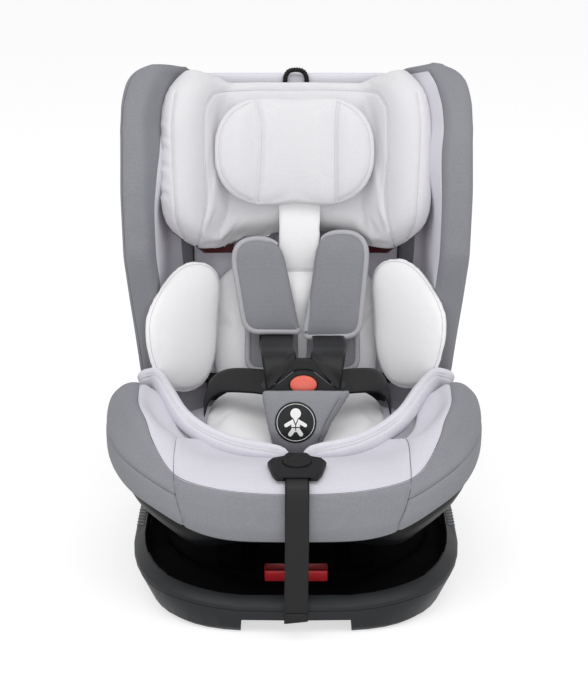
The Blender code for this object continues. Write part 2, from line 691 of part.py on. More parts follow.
def make_headrest(parent, release, frame, maroon, fabric, plastic, steel):
    heights = (0.164, 0.171, 0.186, 0.212, 0.26, 0.30, 0.345, 0.370, 0.382, 0.388)
    shell = add("headrest_shell", loft([head_shell_section(up) for up in heights]), maroon, parent, frame)
    join(shell, block((-0.017, 0.226, -0.0295), (0.017, 0.250, HEAD_BACK + 0.002)))
    pad = [(HEAD_BOTTOM, 0.014), (0.168, 0.026), (0.190, 0.031), (0.345, 0.031), (0.370, 0.029),
           (0.391, 0.014)]
    sections = [head_cover_section(up, between(pad, up)) for up in (HEAD_BOTTOM,) + heights + (0.391,)]
    cover = add("headrest_cover", loft(sections), fabric, parent, frame)
    arch = ((-0.083, 0.12, -0.01), (0.083, 0.202, 0.08))
    for piece in (shell, cover):
        cut(piece, block(*arch))

    def pillow_place(u, v, w):
        lobe = 0.0055 * math.exp(-((abs(u) - 0.048) / 0.010) ** 2) * (1 if w > 0 else 0)
        waist = 1 - 0.10 * math.exp(-(u / 0.05) ** 2)
        return Vector((u, 0.296 + v * waist, 0.0578 + w - lobe + 1.6 * u * u))
    pillow = cushion(pillow_place, 0.106, 0.077, 0.021, 0.0105, 2.5, 0.5, 36, 5)
    add("head_pillow", pillow, fabric, parent, frame)

    bent_rod = [(0, 0.3845, 0.0046), (0, 0.33, 0.0046), (0, 0.266, 0.0046), (0, 0.258, -0.010),
                (0, 0.254, -0.0340), (0, 0.238, -0.0352)]
    rod = add("headrest_pull_rod", tube(bent_rod, 0.0024, (1, 0, 0), 8, 3), steel, release, frame)
    lock_bar = [(x, 0.240, -0.0352) for x in (-0.045, 0.0, 0.045)]
    join(rod, tube(lock_bar, 0.0035, (0, 0, 1), 8, 1))
    loop = [(x, up, 0.0046) for x, up in ((-0.0140, 0.386), (-0.0140, 0.396), (-0.0095, 0.4040), (0.0, 0.4060),
                                          (0.0095, 0.4040), (0.0140, 0.396), (0.0140, 0.386))]
    grip = add("headrest_pull_loop", tube(loop, ribbed_radius, (0, 0, 1), 8, 4), plastic, release, frame)
    join(grip, block((-0.0150, 0.3850, 0.0020), (0.0150, 0.3885, 0.0072)))


def make_headrest_rack(parent, frame, steel):
    """A plate on the back of the shell, with notches that the headrest's lock bar stops at."""
    edge = SHELL_FRONT - SHELL_WALL - 0.0006
    plate = block((-0.052, 0.206, edge - 0.0030), (0.052, 0.3780, edge))
    rack = add("headrest_rack", plate, steel, parent, frame)
    cut(rack, block((-0.0215, 0.2140, -0.05), (0.0215, 0.40, 0.0)))
    for side in (-1, 1):
        teeth = []
        for step in range(7):
            low = 0.2320 + step * 0.0190
            teeth += [(low, edge - 0.0025), (low, edge - 0.0095), (low + 0.011, edge - 0.0095),
                      (low + 0.0125, edge - 0.0055), (low + 0.0165, edge - 0.0055)]
        outline = [(0.2320, edge - 0.0020)] + teeth[1:] + [(0.3632, edge - 0.0020)]
        join(rack, prism(outline, side_place, side * 0.028, side * 0.033))


# Infant insert

def roll_radius(part):
    return 0.004 + 0.0105 * math.sin(math.pi * (0.10 + 0.82 * part)) ** 0.5


def make_insert(parent, frame, fabric, lavender):
    def seat_place(u, v, w):
        dip = 0.004 * math.exp(-(u / 0.045) ** 2) + 0.03 * max(0.0, v) * 0.3
        return Vector((u, -0.040 + v, 0.1755 + w - dip * (1 if w > 0 else 0)))
    pad = add("insert_seat_pad", cushion(seat_place, 0.118, 0.094, 0.0255, 0.0145, 3.2, 0.45, 28),
              fabric, parent)
    cut(pad, block((-0.0185, -0.1500, 0.10), (0.0365, -0.1050, 0.25)))

    def back_place(u, v, w):
        waist = 1 - 0.06 * math.cos(v / 0.095 * math.pi / 2)
        return Vector((u * waist, 0.063 + v, 0.0140 + w))
    body = add("insert_back", cushion(back_place, 0.102, 0.088, 0.0155, 0.0132, 3.2, 0.42, 28),
               fabric, parent, frame)
    join(body, ribbon([(0, 0.222, 0.0502), (0, 0.196, 0.0502), (0, 0.174, 0.0480), (0, 0.156, 0.0360),
                       (0, 0.138, 0.0180)], NECK_WIDTH, (1, 0, 0), 3, 0.009))

    for side, name in ((-1, "left"), (1, "right")):
        def torso_place(u, v, w, side=side):
            lean = 0.020 * ease(v, 0.0, 0.087) + 0.008 * ease(-v, 0.0, 0.087)
            x = 0.1415 - lean + 0.775 * u - 0.632 * w
            return Vector((side * x, 0.073 + v, 0.0825 - 0.6 * lean + 0.632 * u + 0.775 * w))
        add(f"torso_pad_{name}", cushion(torso_place, 0.0595, 0.086, 0.017, 0.011, 2.3, 0.5, 26),
            fabric, parent, frame)

        route = [(side * x, y, z) for x, y, z in (
            (0.188, 0.026, 0.2290), (0.176, 0.0053, 0.2330), (0.1540, -0.0560, 0.2325),
            (0.132, -0.1065, 0.2202), (0.110, -0.1285, 0.2087), (0.0815, -0.1482, 0.2022),
            (0.049, -0.1617, 0.1976), (0.013, -0.1684, 0.1940))]
        add(f"front_roll_{name}", tube(route, roll_radius, (0, 0, 1), 10, 4, 0.72), lavender, parent)


# Harness

def make_harness(parent, frame, crotch, parts):
    webbing, pad_cloth, plastic, steel, red, pull = parts
    for side, name in ((-1, "left"), (1, "right")):
        top = side * 0.058 + 0.004
        low = side * 0.0385 + 0.0085
        buckle_end = frame.inverted() @ (crotch @ Vector((side * 0.0228, 0.0925, -0.0128)))
        route = [(side * 0.030, 0.100, -0.0300), (side * 0.050, 0.155, -0.0300),
                 (side * SLOT_X, 0.1740, -0.0275), (side * SLOT_X, SLOT_UP, -0.012),
                 (side * SLOT_X, SLOT_UP + 0.001, 0.030),
                 (top - side * 0.002, 0.1725, 0.0455), (top - side * 0.006, 0.150, 0.0515),
                 ((top + low) / 2, 0.110, 0.0530), (low, 0.062, 0.0530)]
        route.append(buckle_end.lerp(Vector(route[-1]), 0.45) + Vector((0, -0.010, 0.006)))
        route.append(tuple(buckle_end))
        add(f"shoulder_strap_{name}", ribbon(route, WEB_WIDTH, (1, 0, 0), 3), webbing, parent, frame)

        def sleeve(u, v, w, top=top, low=low):
            slant = low + (top - low) * max(0.0, v + 0.066) / 0.128
            curl = 1.2 * max(0.0, v - 0.045) ** 1.4
            return Vector((slant + u * (1 - 0.6 * v), 0.126 + v, 0.0625 + w - curl))
        pad = add(f"shoulder_pad_{name}", cushion(sleeve, 0.0345, 0.0665, 0.0080, 0.0075, 6.0, 0.28, 32, 3),
                  pad_cloth, parent, frame)
        join(pad, cushion(lambda u, v, w: sleeve(u, v - 0.046, w - 0.0215),
                          0.0325, 0.0700, 0.0035, 0.0035, 6.0, 0.28, 28, 2))
        inner = side * 0.0045 - side * 0.0345
        fold = [(inner - 0.0025, -0.050), (inner + 0.0025, -0.050), (inner + 0.0025, 0.018),
                (inner - 0.0025, 0.018)]
        join(pad, prism(fold, sleeve, -0.0230, -0.0010))

        hip = [(side * 0.1210 + 0.002, 0.024, 0.186), (side * 0.1130 + 0.003, 0.010, 0.2160),
               (side * 0.0960 + 0.006, -0.012, 0.2360), (side * 0.0650 + 0.008, -0.046, 0.2480),
               (side * 0.0400 + 0.009, -0.0690, 0.2530)]
        add(f"lap_strap_{name}", ribbon(hip, WEB_WIDTH - 0.004, (0, 0.80, 0.60), 3), webbing, parent)
        blade = [(side * u, v) for u, v in (
            (0.006, 0.0885), (0.030, 0.0790), (0.0480, 0.0640), (0.0520, 0.0690), (0.0400, 0.0860),
            (0.0240, 0.0960), (0.008, 0.0990))]
        add(f"harness_tongue_{name}", prism(blade, flat_place, -0.0085, -0.0060), plastic, parent, crotch)

    housing = [(-0.040, 0.040), (0.040, 0.040), (0.0465, 0.056), (0.0435, 0.0625), (0.014, 0.0860),
               (0.006, 0.0885), (-0.006, 0.0885), (-0.014, 0.0860), (-0.0435, 0.0625), (-0.0465, 0.056)]
    narrow = [(u * 0.93, 0.064 + (v - 0.064) * 0.90) for u, v in housing]
    rings = [[Vector((u, v, w)) for u, v in ring] for ring, w in (
        (narrow, -0.0280), (housing, -0.0240), (housing, -0.0020), (narrow, 0.0035))]
    buckle = add("buckle_housing", loft(rings), plastic, parent, crotch)
    well = [[Vector((0.0175 * math.cos(a), 0.0690 + 0.0125 * math.sin(a), w)) for a in around(24)]
            for w in (-0.0120, 0.0200)]
    cut(buckle, loft(well))
    cut(buckle, block((-0.060, 0.0600, -0.0090), (0.060, 0.1100, -0.0055)))
    button = [[Vector((k * 0.0165 * math.cos(a), 0.0690 + k * 0.0115 * math.sin(a), w)) for a in around(24)]
              for k, w in ((1.0, -0.0070), (1.0, 0.0040), (0.9, 0.0056), (0.55, 0.0066))]
    add("buckle_button", loft(button + [[Vector((0, 0.0690, 0.0070))]]), red, pull["button"], crotch)

    rise = [(0, -0.085, -0.006), (0, -0.030, -0.005), (0, 0.010, -0.006), (0, 0.0395, -0.0100)]
    add("crotch_strap", ribbon(rise, WEB_WIDTH, (1, 0, 0), 2), webbing, parent, crotch)

    def crotch_place(u, v, w):
        up = 0.0290 + v
        widen = between([(-0.006, 0.56), (0.0233, 0.735), (0.062, 1.03)], up)
        shift = between([(-0.006, -0.0090), (0.0233, -0.0050), (0.062, 0.0038)], up)
        return Vector((shift + u * widen, up, 0.0135 + w - 1.2 * u * u - 0.5 * max(0.0, -v - 0.018)))
    add("crotch_pad", cushion(crotch_place, 0.0540, 0.0335, 0.0060, 0.0060, 6.0, 0.30, 28, 3),
        pad_cloth, parent, crotch)


def make_adjuster(parent, button_parent, plastic, webbing):
    slope = math.radians(13)
    frame = Matrix.Translation((0.001, -0.2185, 0.2010)) @ Matrix.Rotation(slope, 4, "X")
    outline = [(-0.0235, -0.0290), (0.0235, -0.0290), (0.0290, -0.0200), (0.0345, 0.0020), (0.0300, 0.0080),
               (0.0170, 0.0120), (0.0120, 0.0190), (-0.0120, 0.0190), (-0.0170, 0.0120), (-0.0300, 0.0080),
               (-0.0345, 0.0020), (-0.0290, -0.0200)]
    small = [(u * 0.93, -0.004 + (v + 0.004) * 0.92) for u, v in outline]
    cover = add("adjuster_cover", loft([[Vector((u, v, w)) for u, v in ring] for ring, w in (
        (outline, 0.0), (outline, 0.0050), (small, 0.0085))]), plastic, parent, frame)
    def oval(size, w):
        return [Vector((size * 0.0165 * math.cos(a), -0.0020 + size * 0.0105 * math.sin(a), w))
                for a in around(24)]
    cut(cover, loft([oval(1.045, 0.0020), oval(1.045, 0.03)]))
    cut(cover, block((-TAIL_WIDTH / 2 - 0.0015, -0.05, 0.0010), (TAIL_WIDTH / 2 + 0.0015, -0.0170, 0.0045)))
    add("adjuster_button", loft([oval(1.0, 0.0064), oval(1.0, 0.0090), oval(0.88, 0.0104),
                                 [Vector((0, -0.0020, 0.0110))]]), plastic, button_parent, frame)
    start = frame @ Vector((0, -0.0180, 0.0028))
    nose = frame @ Vector((0, -0.0330, 0.0028))
    hanging = [start, nose, (0.0012, -0.2612, 0.1880), (0.001, -0.2640, 0.168), (0.001, -0.2645, 0.130),
               (0.0005, -0.2645, 0.085), (0.0, -0.2640, 0.040), (0.0, -0.2640, 0.0340), (0.0, -0.2640, 0.0245)]
    add("adjuster_strap", ribbon(hanging, TAIL_WIDTH, (1, 0, 0), 3, hem=0.0020), webbing, parent)


def make_yoke(parent, frame, steel):
    outline = [(-0.050, 0.097), (-0.016, 0.085), (0.016, 0.085), (0.050, 0.097), (0.050, 0.1105),
               (-0.050, 0.1105)]
    add("harness_yoke", prism(outline, flat_place, -0.0345, -0.0318), steel, parent, frame)


def main():
    for old in list(bpy.data.objects):
        bpy.data.objects.remove(old)

    plastic = finish("black_plastic", (0.022, 0.023, 0.025), 0.55)
    nylon = finish("white_nylon", (0.75, 0.75, 0.72), 0.45)
    steel = finish("zinc_steel", (0.45, 0.46, 0.47), 0.38, 1.0)
    red = finish("red_plastic", (0.58, 0.012, 0.016), 0.4)
    coral = finish("coral_plastic", (0.85, 0.14, 0.09), 0.4)
    foam = finish("white_foam", (0.8, 0.8, 0.8), 0.9)
    grey = finish("grey_knit", (0.27, 0.275, 0.29), 0.9)
    lavender = finish("pale_lavender_knit", (0.67, 0.65, 0.72), 0.9)
    white = finish("off_white_knit", (0.76, 0.75, 0.745), 0.9)
    webbing = finish("black_webbing", (0.016, 0.017, 0.019), 0.8)
    maroon = finish("maroon_plastic", (0.10, 0.016, 0.018), 0.5)

    back = Matrix.Translation(BACK_FOOT) @ Matrix.Rotation(math.pi / 2 - BACK_LEAN, 4, "X")
    crotch = Matrix.Translation(CROTCH_FOOT) @ Matrix.Rotation(math.pi / 2 - CROTCH_LEAN, 4, "X")
    base = carrier("base")
    table = carrier("swivel", base)
    seat = carrier("recline", table, Matrix.Translation((0, 0, RECLINE_HEIGHT)))
    head = carrier("headrest_slide", seat, back @ Matrix.Translation((0, HEAD_BOTTOM, 0)))
    release = carrier("headrest_release", head, back @ Matrix.Translation((0, HEAD_TOP, 0)))
    handle = carrier("handle_slide", table, Matrix.Translation((0, -0.1680, 0.0375)))
    pin = carrier("rotation_lock", table, Matrix.Translation((0, 0.125, TABLE_TOP)))
    bolt = carrier("recline_lock", table, Matrix.Translation((0, -0.030, TABLE_TOP)))
    button = carrier("buckle_press", seat, crotch @ Matrix.Translation((0, 0.069, 0)))
    adjust = carrier("adjuster_press", seat, Matrix.Translation((0, -0.2185, 0.2010)))
    anchors = carrier("anchor_slide", base, Matrix.Translation((0, 0.1, 0.012)))
    arms = {"slide": anchors}
    for side, name in ((-1, "left"), (1, "right")):
        x = side * ANCHOR_SPACING / 2
        arms[f"hook_{name}"] = carrier(f"hook_{name}", anchors, Matrix.Translation((x, 0.221, 0.0145)))
        arms[f"button_{name}"] = carrier(f"unlock_{name}", anchors, Matrix.Translation((x, 0.239, 0.0313)))

    make_base(base, plastic, nylon)
    make_anchors(arms, plastic, steel, red)
    make_turntable(table, handle, pin, bolt, plastic, steel, red)
    make_bowl(seat, plastic, steel, foam)
    make_seat_cover(seat, grey)
    make_back(seat, back, plastic, grey, lavender, foam)
    make_headrest(head, release, back, maroon, white, plastic, steel)
    make_headrest_rack(seat, back, steel)
    make_insert(seat, back, white, lavender)
    make_harness(seat, back, crotch, (webbing, grey, plastic, steel, coral, {"button": button}))
    make_adjuster(seat, adjust, plastic, webbing)
    make_yoke(seat, back, steel)


main()
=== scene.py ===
import json
import math

import bmesh
import bpy
import numpy as np
from mathutils import Matrix, Vector
from mathutils.bvhtree import BVHTree


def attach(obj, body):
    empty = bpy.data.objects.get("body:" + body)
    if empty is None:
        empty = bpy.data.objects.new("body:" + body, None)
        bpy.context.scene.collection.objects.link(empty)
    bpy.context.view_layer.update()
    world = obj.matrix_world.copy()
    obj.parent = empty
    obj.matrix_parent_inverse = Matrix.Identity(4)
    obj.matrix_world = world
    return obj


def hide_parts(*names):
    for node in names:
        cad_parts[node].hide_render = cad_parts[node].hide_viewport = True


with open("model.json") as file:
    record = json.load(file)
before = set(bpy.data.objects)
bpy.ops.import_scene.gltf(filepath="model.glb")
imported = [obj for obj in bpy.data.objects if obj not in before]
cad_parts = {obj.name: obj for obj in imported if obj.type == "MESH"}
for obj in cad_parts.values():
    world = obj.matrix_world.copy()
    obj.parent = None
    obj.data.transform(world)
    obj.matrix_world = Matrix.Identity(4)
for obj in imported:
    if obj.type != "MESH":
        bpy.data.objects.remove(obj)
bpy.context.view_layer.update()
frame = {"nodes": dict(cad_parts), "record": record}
scene = bpy.context.scene
scene.view_settings.view_transform = "Standard"
bothSides = ((-1, "left"), (1, "right"))
bodyOf = {node: body for body, members in frame["record"]["behaviour"]["bodies"].items() for node in members}


def addObject(name, data):
    made = bpy.data.objects.new(name, data)
    scene.collection.objects.link(made)
    return made


def leaningPlane(foot, lean):
    return Matrix.Translation(foot) @ Matrix.Rotation(math.pi / 2 - math.radians(lean), 4, "X")


# the planes that the CAD sets its pieces out in: x, up the plane, out of the plane
backPlane = leaningPlane((0, 0.118, 0.200), 14)
crotchPlane = leaningPlane((0.009, -0.122, 0.196), 18)
adjusterPlane = Matrix.Translation((0.001, -0.2185, 0.2010)) @ Matrix.Rotation(math.radians(13), 4, "X")
backOut = backPlane.to_3x3() @ Vector((0, 0, 1))
crotchOut = crotchPlane.to_3x3() @ Vector((0, 0, 1))


# Camera

cameraView = {"target": (-0.0025, 0, 0.2741), "distance": 2.3, "elevation": 18, "lens": 93.33}


def makeCamera():
    data = bpy.data.cameras.new("studioCamera")
    data.lens = cameraView["lens"]
    camera = addObject("studioCamera", data)
    lift = math.radians(cameraView["elevation"])
    away = Vector((0, -math.cos(lift), math.sin(lift))) * cameraView["distance"]
    camera.location = Vector(cameraView["target"]) + away
    camera.rotation_euler = (math.pi / 2 - lift, 0, 0)
    scene.camera = camera


makeCamera()


# Small geometry helpers

def ease(value, start, end):
    part = min(1.0, max(0.0, (value - start) / (end - start)))
    return part * part * (3 - 2 * part)


def between(pairs, value):
    places, values = zip(*pairs)
    return float(np.interp(value, places, values))


def power(value, exponent):
    return math.copysign(abs(value) ** exponent, value)


def around(count):
    return [2 * math.pi * step / count for step in range(count)]


def smoothPath(points, steps):
    # a smooth curve through the points
    points = [Vector(point) for point in points]
    ends = [2 * points[0] - points[1]] + points + [2 * points[-1] - points[-2]]
    path = []
    for a, b, c, d in zip(ends, ends[1:], ends[2:], ends[3:]):
        for step in range(steps):
            t = step / steps
            path.append(0.5 * (2 * b + (c - a) * t + (2 * a - 5 * b + 4 * c - d) * t ** 2
                               + (3 * b - a - 3 * c + d) * t ** 3))
    return path + [points[-1]]


def evenPath(points, count):
    # the same line with its points evenly spaced
    points = np.array([tuple(point) for point in points])
    run = np.concatenate([[0], np.cumsum(np.linalg.norm(np.diff(points, axis=0), axis=1))])
    where = np.linspace(0, run[-1], count)
    return np.stack([np.interp(where, run, points[:, axis]) for axis in range(points.shape[1])], 1)


def splitLine(points, cuts, counts):
    # samples a line in stretches, so that each cut falls on a sample
    points = np.array(points)
    run = np.concatenate([[0], np.cumsum(np.linalg.norm(np.diff(points, axis=0), axis=1))])
    marks = [0.0] + [min(cut, run[-1]) for cut in cuts] + [run[-1]]
    where = np.concatenate([np.linspace(a, b, count, endpoint=False)
                            for a, b, count in zip(marks, marks[1:], counts)])
    return np.stack([np.interp(where, run, points[:, axis]) for axis in range(3)], 1)


def relaxNet(net, axis, sigma, loop):
    # rounds the kinks of a net of points along one of its directions
    reach = int(3 * sigma) + 1
    weights = np.exp(-0.5 * (np.arange(-reach, reach + 1) / sigma) ** 2)
    weights /= weights.sum()
    net = np.moveaxis(net, axis, 0)
    if loop:
        padded = np.concatenate([net[-reach:], net, net[:reach]])
    else:
        padded = np.concatenate([2 * net[:1] - net[reach:0:-1], net, 2 * net[-1:] - net[-2:-reach - 2:-1]])
    smooth = sum(weight * padded[step:step + len(net)] for step, weight in enumerate(weights))
    return np.moveaxis(smooth, 0, axis)


def framesAlong(path, across):
    for step, point in enumerate(path):
        along = (path[min(step + 1, len(path) - 1)] - path[max(step - 1, 0)]).normalized()
        side = (across - along * across.dot(along)).normalized()
        yield point, side, along.cross(side)


def makePiece(name, points, faces, finishes, marks=None):
    # a closed mesh at the origin, smooth, with its faces turned outwards
    mesh = bpy.data.meshes.new(name)
    mesh.from_pydata([tuple(point) for point in points], [], faces)
    for finish in finishes:
        mesh.materials.append(finish)
    if marks is not None:
        mesh.polygons.foreach_set("material_index", marks)
    form = bmesh.new()
    form.from_mesh(mesh)
    bmesh.ops.recalc_face_normals(form, faces=form.faces)
    form.to_mesh(mesh)
    form.free()
    mesh.shade_smooth()
    return addObject(name, mesh)


def loftFaces(rings):
    # points and faces through rings; a ring of one point is a pole, other ends are capped
    points, faces, starts = [], [], []
    for ring in rings:
        starts.append(len(points))
        points += [tuple(point) for point in ring]
    for index in range(len(rings) - 1):
        first, second = starts[index], starts[index + 1]
        one, two = len(rings[index]), len(rings[index + 1])
        for step in range(max(one, two)):
            after = (step + 1) % max(one, two)
            if one == 1:
                faces.append((first, second + after, second + step))
            elif two == 1:
                faces.append((first + step, first + after, second))
            else:
                faces.append((first + step, first + after, second + after, second + step))
    for index in (0, -1):
        if len(rings[index]) > 2:
            faces.append(tuple(range(starts[index], starts[index] + len(rings[index]))))
    return points, faces


def netFaces(stations, count):
    # a net closed round its section, with its two thin ends closed across
    faces = []
    for here in range(0, (stations - 1) * count, count):
        ahead = here + count
        for step in range(count):
            after = (step + 1) % count
            faces.append((here + step, here + after, ahead + after, ahead + step))
    for first in (0, (stations - 1) * count):
        faces += [(first + step, first + step + 1, first + count - 2 - step, first + count - 1 - step)
                  for step in range(count // 2 - 1)]
    return faces


def settle(piece):
    # the piece's modifiers become its mesh
    graph = bpy.context.evaluated_depsgraph_get()
    mesh = bpy.data.meshes.new_from_object(piece.evaluated_get(graph))
    piece.modifiers.clear()
    old, piece.data = piece.data, mesh
    bpy.data.meshes.remove(old)
    mesh.name = piece.name
    mesh.shade_smooth()
    return piece


def weldedForm(mesh):
    # an editable copy of a mesh with its doubled points joined
    form = bmesh.new()
    form.from_mesh(mesh)
    bmesh.ops.remove_doubles(form, verts=form.verts, dist=0.00001)
    return form


def formPiece(name, form, finish):
    mesh = bpy.data.meshes.new(name)
    form.to_mesh(mesh)
    form.free()
    mesh.materials.append(finish)
    return addObject(name, mesh)


def readPoints(mesh):
    points = np.empty(len(mesh.vertices) * 3)
    mesh.vertices.foreach_get("co", points)
    return points.reshape(-1, 3)


def readNormals(mesh):
    normals = np.empty(len(mesh.vertices) * 3)
    mesh.vertex_normals.foreach_get("vector", normals)
    return normals.reshape(-1, 3)


def writePoints(mesh, points):
    mesh.vertices.foreach_set("co", np.asarray(points).ravel())
    mesh.update()


def surfaceOf(piece):
    points = [vert.co.copy() for vert in piece.data.vertices]
    return BVHTree.FromPolygons(points, [face.vertices[:] for face in piece.data.polygons])


def layOn(piece, points, direction):
    # drops points onto a piece along a direction, leaving out those that miss
    surface = surfaceOf(piece)
    path = []
    for point in points:
        hit = surface.ray_cast(Vector(point) - direction * 0.4, direction)[0]
        if hit is not None:
            path.append(hit)
    return path


def seamGap(points, paths):
    # how far each point is from the nearest seam
    gap = np.ones(len(points))
    for path in paths:
        path = np.array([tuple(point) for point in path])
        for start, end in zip(path, path[1:]):
            run = end - start
            part = np.clip((points - start) @ run / max(run @ run, 1e-12), 0, 1)
            gap = np.minimum(gap, np.linalg.norm(points - start - part[:, None] * run, axis=1))
    return gap


def sewIn(piece, paths, depth, width):
    # pulls the cloth in along its seams
    points = readPoints(piece.data)
    pull = depth * np.exp(-(seamGap(points, paths) / width) ** 2)
    writePoints(piece.data, points - readNormals(piece.data) * pull[:, None])


def sunkSeams(piece, paths):
    # lines that ran on the cloth, brought back onto it after it was pulled in
    surface = surfaceOf(piece)
    return [relaxNet(np.array([tuple(surface.find_nearest(point)[0]) for point in path]), 0, 1.5, False)
            for path in paths]


# Finishes

def linear(code):
    # an sRGB hex colour as linear light
    parts = [int(code[place:place + 2], 16) / 255 for place in (1, 3, 5)]
    light = [part / 12.92 if part <= 0.04045 else ((part + 0.055) / 1.055) ** 2.4 for part in parts]
    return (*light, 1.0)


def addNode(tree, kind, settings, feeds):
    node = tree.nodes.new(kind)
    for key, value in settings.items():
        setattr(node, key, value)
    for key, value in feeds.items():
        if isinstance(value, bpy.types.NodeSocket):
            tree.links.new(value, node.inputs[key])
        else:
            node.inputs[key].default_value = value
    return node


def blankFinish(name, settings):
    made = bpy.data.materials.new(name)
    made.use_nodes = True
    shader = made.node_tree.nodes["Principled BSDF"]
    for key, value in settings.items():
        shader.inputs[key].default_value = value
    return made, made.node_tree, shader


def objectPlace(tree):
    return addNode(tree, "ShaderNodeTexCoord", {}, {}).outputs["Object"]


def noise(tree, where, scale, detail=2.0):
    settings = {"Vector": where, "Scale": scale, "Detail": detail}
    return addNode(tree, "ShaderNodeTexNoise", {}, settings).outputs[0]


def sums(tree, operation, *values):
    return addNode(tree, "ShaderNodeMath", {"operation": operation}, dict(enumerate(values))).outputs[0]


def spread(tree, value, low, high, first=0.0, last=1.0):
    # the range low to high as the range first to last
    return addNode(tree, "ShaderNodeMapRange", {}, {0: value, 1: low, 2: high, 3: first, 4: last}).outputs[0]


def mixColour(tree, shader, share, look):
    colour = addNode(tree, "ShaderNodeMix", {"data_type": "RGBA"},
                     {0: share, 6: linear(look["dark"]), 7: linear(look["light"])})
    tree.links.new(colour.outputs[2], shader.inputs["Base Color"])


def raiseGrain(tree, shader, height, strength, distance):
    bump = addNode(tree, "ShaderNodeBump", {}, {"Strength": strength, "Distance": distance, "Height": height})
    tree.links.new(bump.outputs[0], shader.inputs["Normal"])


def knitCloth(name, look):
    # warp-knitted polyester over thin foam: matt, small loops, a faint bloom where it turns away
    made, tree, shader = blankFinish(name, {"Roughness": 0.9, "Specular IOR Level": 0.18,
                                            "Sheen Weight": look["sheen"], "Sheen Roughness": 0.45})
    where = objectPlace(tree)
    loops = addNode(tree, "ShaderNodeTexVoronoi", {},
                    {"Vector": where, "Scale": 1000 / look["loop"], "Randomness": 0.7}).outputs["Distance"]
    fine = sums(tree, "MULTIPLY_ADD", noise(tree, where, 1000 / look["fibre"], 3.0), 0.55, loops)
    tone = sums(tree, "MULTIPLY_ADD", noise(tree, where, 16.0), 0.5, fine)
    mixColour(tree, shader, spread(tree, tone, 0.45, 1.15), look)
    raiseGrain(tree, shader, fine, look["bump"], 0.0006)
    return made


# loops of about 0.8 mm are drawn twice as wide, or the render would not show them
coverKnit = {"loop": 1.5, "fibre": 0.9, "sheen": 0.06, "bump": 0.14}
padKnit = {"loop": 1.4, "fibre": 0.9, "sheen": 0.05, "bump": 0.12}
bandKnit = {"loop": 1.1, "fibre": 0.8, "sheen": 0.05, "bump": 0.2}
knitLooks = {
    "greyKnit": {"light": "#8d8e93", "dark": "#7e7f85", **coverKnit, "bump": 0.16},
    "lavenderKnit": {"light": "#dedce4", "dark": "#d2d0da", **coverKnit},
    "coverLavender": {"light": "#d3d1da", "dark": "#c7c5cf", **coverKnit},
    "offWhiteKnit": {"light": "#e0dfe2", "dark": "#d6d5d9", **padKnit},
    # the insert's knit is lighter than the headrest's: partly its whiter cloth, partly painted light that
    # lifts the shade in the seat's recesses
    "insertKnitPaintedLight": {"light": "#f5f4f5", "dark": "#edecee", **padKnit},
    "pipingKnit": {"light": "#b4b3b8", "dark": "#a6a5aa", **bandKnit, "sheen": 0.08},
    # the two seam colours are darker copies of the cloth: painted shade for the grooves of the seams
    "paleSeam": {"light": "#cbc9cc", "dark": "#bebcc0", **bandKnit},
    "greySeam": {"light": "#5e5f65", "dark": "#53545a", **bandKnit},
    "hookTape": {"light": "#1d1d20", "dark": "#101012", **bandKnit, "loop": 1.6, "fibre": 0.7, "bump": 0.9},
}
finishes = {name: knitCloth(name, look) for name, look in knitLooks.items()}


def mouldedPlastic(name, look):
    # injection-moulded ABS or polypropylene from a spark-eroded tool: a fine grain that breaks up the gloss
    made, tree, shader = blankFinish(name, {"IOR": 1.5, "Specular IOR Level": look["gloss"]})
    where = objectPlace(tree)
    handling = noise(tree, where, 22.0, 4.0)
    mixColour(tree, shader, handling, look)
    rough = spread(tree, handling, 0.3, 0.7, look["rough"] - 0.06, look["rough"] + 0.06)
    tree.links.new(rough, shader.inputs["Roughness"])
    raiseGrain(tree, shader, noise(tree, where, 1000 / look["grain"]), look["bump"], 0.0003)
    return made


# the spark grain is about 0.3 mm and is drawn at 0.9 mm so that it shows
sparkGrain = {"grain": 0.9, "bump": 0.2}
fineGrain = {"grain": 0.7, "bump": 0.05}
dullGrain = {"grain": 0.8, "bump": 0.1, "rough": 0.45, "gloss": 0.4}
printed = {"grain": 0.8, "bump": 0.1, "rough": 0.6, "gloss": 0.3}
plasticLooks = {
    "grainedBlackPlastic": {"light": "#1a1c20", "dark": "#14161a", **sparkGrain, "rough": 0.5, "gloss": 0.35},
    # near-black and rough: painted shade for the unlit inside of the base and the parts under the seat
    "paintedShadePlastic": {"light": "#060606", "dark": "#030303", **sparkGrain, "rough": 0.85, "gloss": 0.04},
    "satinBlackPlastic": {"light": "#0f1013", "dark": "#0a0b0d", **fineGrain, "rough": 0.46, "gloss": 0.24,
                          "bump": 0.1},
    "ribGreyPlastic": {"light": "#74767c", "dark": "#66686d", **sparkGrain, "rough": 0.55, "gloss": 0.35,
                       "bump": 0.1},
    "redAbs": {"light": "#ee3a44", "dark": "#dd2c37", **fineGrain, "rough": 0.34, "gloss": 0.5},
    # a darker red painted as shade on the handle's upward faces and its recessed plate
    "redAbsPaintedShade": {"light": "#8a2429", "dark": "#771d22", **fineGrain, "rough": 0.4, "gloss": 0.4},
    "coralAbs": {"light": "#e26c5a", "dark": "#d75d4c", **fineGrain, "rough": 0.4, "gloss": 0.45},
    "maroonPolypropylene": {"light": "#5a2427", "dark": "#481a1d", **dullGrain},
    "whiteNylon": {"light": "#e6e5e0", "dark": "#d8d7d0", **dullGrain},
    "badgeBlackPrint": {"light": "#1d1e20", "dark": "#151617", **printed, "bump": 0.15},
    "badgeWhitePrint": {"light": "#f4f4f3", "dark": "#ebebea", **printed},
    # light grey for the cords that paint the highlight along the buckle's upper edges
    "buckleEdgeHighlight": {"light": "#85878c", "dark": "#76787d", **fineGrain, "rough": 0.4, "gloss": 0.5},
}
finishes.update({name: mouldedPlastic(name, look) for name, look in plasticLooks.items()})

webbingLook = {"light": "#101114", "dark": "#060608", "rib": 1.5, "pitch": 2.2}
steelLook = {"light": "#b9bcbe", "dark": "#9ea1a4"}


